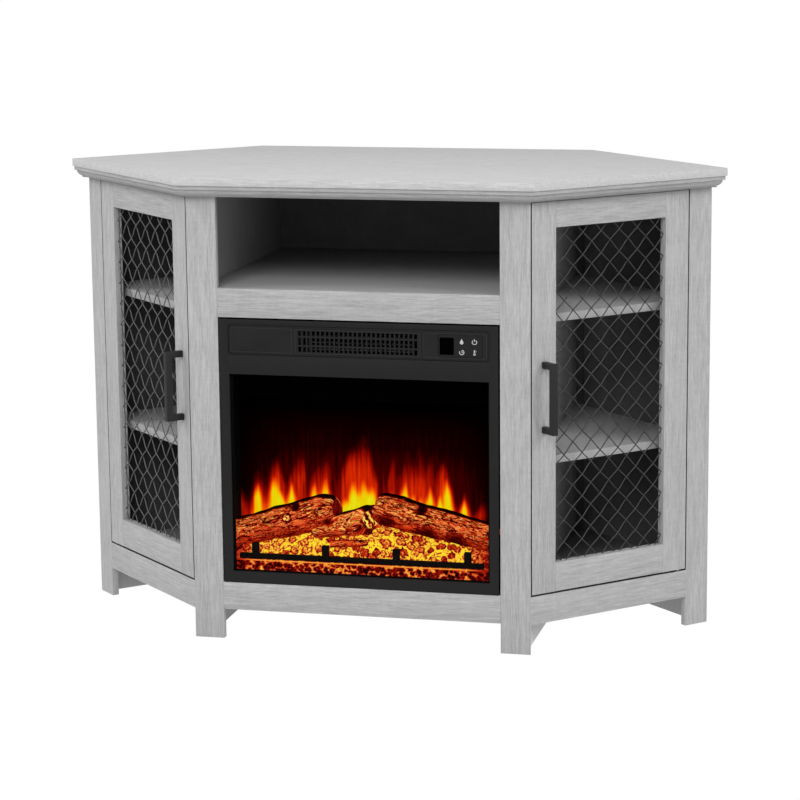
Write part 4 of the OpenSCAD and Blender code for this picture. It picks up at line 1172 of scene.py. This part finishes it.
class CABINET_OT_workings(bpy.types.Operator):
    """Finishes the sheet body, blower, heater, motors and boards inside the insert"""
    bl_idname = "cabinet.workings"
    bl_label = "Workings"

    def execute(self, context):
        # Black stoved sheet steel, bent and spot-welded
        paint_nodes(plain_finish("Stoved sheet steel", "#0A0A0A", 0.7, 2.0, 0.15, 0.03, 0.03),
                    "insert_housing", "rear_cover")
        # Galvanised sheet: large grey spangles
        paint_nodes(plain_finish("Galvanised sheet steel", "#5C5E60", 0.6, 9.0, 0.14, 0.02,
                                 metal=1.0), "blower_casing", "heating_element")
        rolled = (0.1, 1, 1)
        # Rolled aluminium, bright along the rolling direction
        paint_nodes(plain_finish("Rolled aluminium, dulled", "#6E6E6D", 0.5, 3.0, 0.06, 0.01,
                                 metal=1.0, stretch=rolled), "flame_rotor", "blower_wheel")
        # Drawn steel can, oiled
        paint_nodes(plain_finish("Drawn steel can", "#9A9C9E", 0.35, 3.0, 0.08, 0.01, metal=1.0,
                                 stretch=rolled), "rotor_motor", "blower_motor")
        # Green solder mask over glass laminate
        paint_nodes(plain_finish("Green circuit board", "#1E5A2C", 0.35, 3.0, 0.15, 0.05),
                    "led_board", "control_board")
        # Glass-filled nylon, black and slightly rough from the mould
        paint_nodes(plain_finish("Moulded black nylon", "#1C1C1C", 0.45, 1.0, 0.08, 0.03),
                    "power_inlet")
        return {"FINISHED"}


class CABINET_OT_studio(bpy.types.Operator):
    """Sets up the pale floor, the soft light and the camera"""
    bl_idname = "cabinet.studio"
    bl_label = "Studio"

    # Each lamp: how far round from the front, how high, and its share of the power
    LAMPS = [("Softbox front", 0, 37, 1.0), ("Softbox left", -75, 30, 0.72),
             ("Softbox right", 75, 30, 0.72)]
    # What the lamps point at, their distance from it and their size
    TARGET, DISTANCE, SIZE = (0, FRONT_Y, 0.4), 20, 8.0
    # The camera's place, and how far it is turned, lowered and rolled, in degrees
    CAMERA, TURN, LOWERED, ROLL = (1.0840, FRONT_Y - 4.2972, 1.2828), 13.244, 10.932, -0.557

    def turned(self, degrees, axis):
        """A turn about an axis."""
        return Matrix.Rotation(math.radians(degrees), 3, axis)

    def execute(self, context):
        look = context.scene.cabinet_studio
        deselect()
        bpy.ops.mesh.primitive_plane_add(size=60, location=(0, 0, -0.0005))
        floor = named("studio_floor")
        settle(floor)
        # Seamless paper, lit so evenly that it shows no shadow
        paper = plain_finish("Pale seamless paper", "#080808", 0.9, 30.0, 0.01, gloss=0.0,
                             more={"Emission Color": WHITE})
        paint(floor, paper)
        world = bpy.data.worlds.new("Studio white")
        world.use_nodes = True
        world.node_tree.nodes["Background"].inputs["Color"].default_value = WHITE
        for tree, node, socket, level in (
                (paper.node_tree, "Principled BSDF", "Emission Strength", look.floor),
                (world.node_tree, "Background", "Strength", look.sky)):
            seen = add(tree, "LightPath", out="Is Camera Ray")
            mixed = add(tree, "Mix", {0: seen, 2: level, 3: 1.0}, data_type="FLOAT")
            feed(tree, tree.nodes[node], {socket: mixed})
        context.scene.world = world
        for name, around, above, power in self.LAMPS:
            lamp = bpy.data.lights.new(name, "AREA")
            lamp.shape = "SQUARE"
            lamp.size = self.SIZE
            lamp.energy = look.softbox * power
            holder = bpy.data.objects.new(name, lamp)
            aim = self.turned(around, "Z") @ self.turned(above, "X") @ Vector((0, 1, 0))
            aim.z = -abs(aim.z)
            holder.location = Vector(self.TARGET) - self.DISTANCE * aim
            holder.rotation_euler = aim.to_track_quat("-Z", "Y").to_euler()
            context.collection.objects.link(holder)
        camera = bpy.data.objects.new("Camera", bpy.data.cameras.new("Camera"))
        camera.data.sensor_width = 36
        camera.data.lens = look.lens
        camera.data.clip_start = 0.1
        camera.data.clip_end = 100
        camera.location = self.CAMERA
        camera.rotation_euler = (self.turned(self.TURN, "Z") @ self.turned(90 - self.LOWERED, "X")
                                 @ self.turned(self.ROLL, "Z")).to_euler()
        context.collection.objects.link(camera)
        context.scene.camera = camera
        context.scene.view_settings.view_transform = "Standard"
        return {"FINISHED"}


STEPS = (CABINET_OT_boards, CABINET_OT_hardware, CABINET_OT_wire_panels, CABINET_OT_handles,
         CABINET_OT_insert_front, CABINET_OT_touch_panel, CABINET_OT_logs, CABINET_OT_embers,
         CABINET_OT_flames, CABINET_OT_workings, CABINET_OT_studio)


class VIEW3D_PT_cabinet(bpy.types.Panel):
    """The cabinet's sizes, colours and building steps"""
    bl_idname = "VIEW3D_PT_cabinet"
    bl_label = "Corner cabinet"
    bl_space_type = "VIEW_3D"
    bl_region_type = "UI"
    bl_category = "Cabinet"

    def draw(self, context):
        for name, group in LOOKS.items():
            box = self.layout.box()
            box.label(text=group.__doc__)
            look = getattr(context.scene, name)
            for prop in group.__annotations__:
                box.prop(look, prop)
        for step in STEPS:
            self.layout.operator(step.bl_idname)


def register():
    """Registers the classes and hangs the groups on the scene."""
    for group in (*LOOKS.values(), *STEPS, VIEW3D_PT_cabinet):
        bpy.utils.register_class(group)
    for name, group in LOOKS.items():
        setattr(bpy.types.Scene, name, bpy.props.PointerProperty(type=group))


def unregister():
    """Takes the groups and the classes away again."""
    for name in LOOKS:
        delattr(bpy.types.Scene, name)
    for group in reversed((*LOOKS.values(), *STEPS, VIEW3D_PT_cabinet)):
        bpy.utils.unregister_class(group)


def main():
    """Registers the classes and builds every piece in order."""
    register()
    bpy.ops.cabinet.boards()
    bpy.ops.cabinet.hardware()
    bpy.ops.cabinet.wire_panels()
    bpy.ops.cabinet.handles()
    bpy.ops.cabinet.insert_front()
    bpy.ops.cabinet.touch_panel()
    bpy.ops.cabinet.logs()
    bpy.ops.cabinet.embers()
    bpy.ops.cabinet.flames()
    bpy.ops.cabinet.workings()
    bpy.ops.cabinet.studio()
    deselect()


if __name__ == "__main__":
    main()
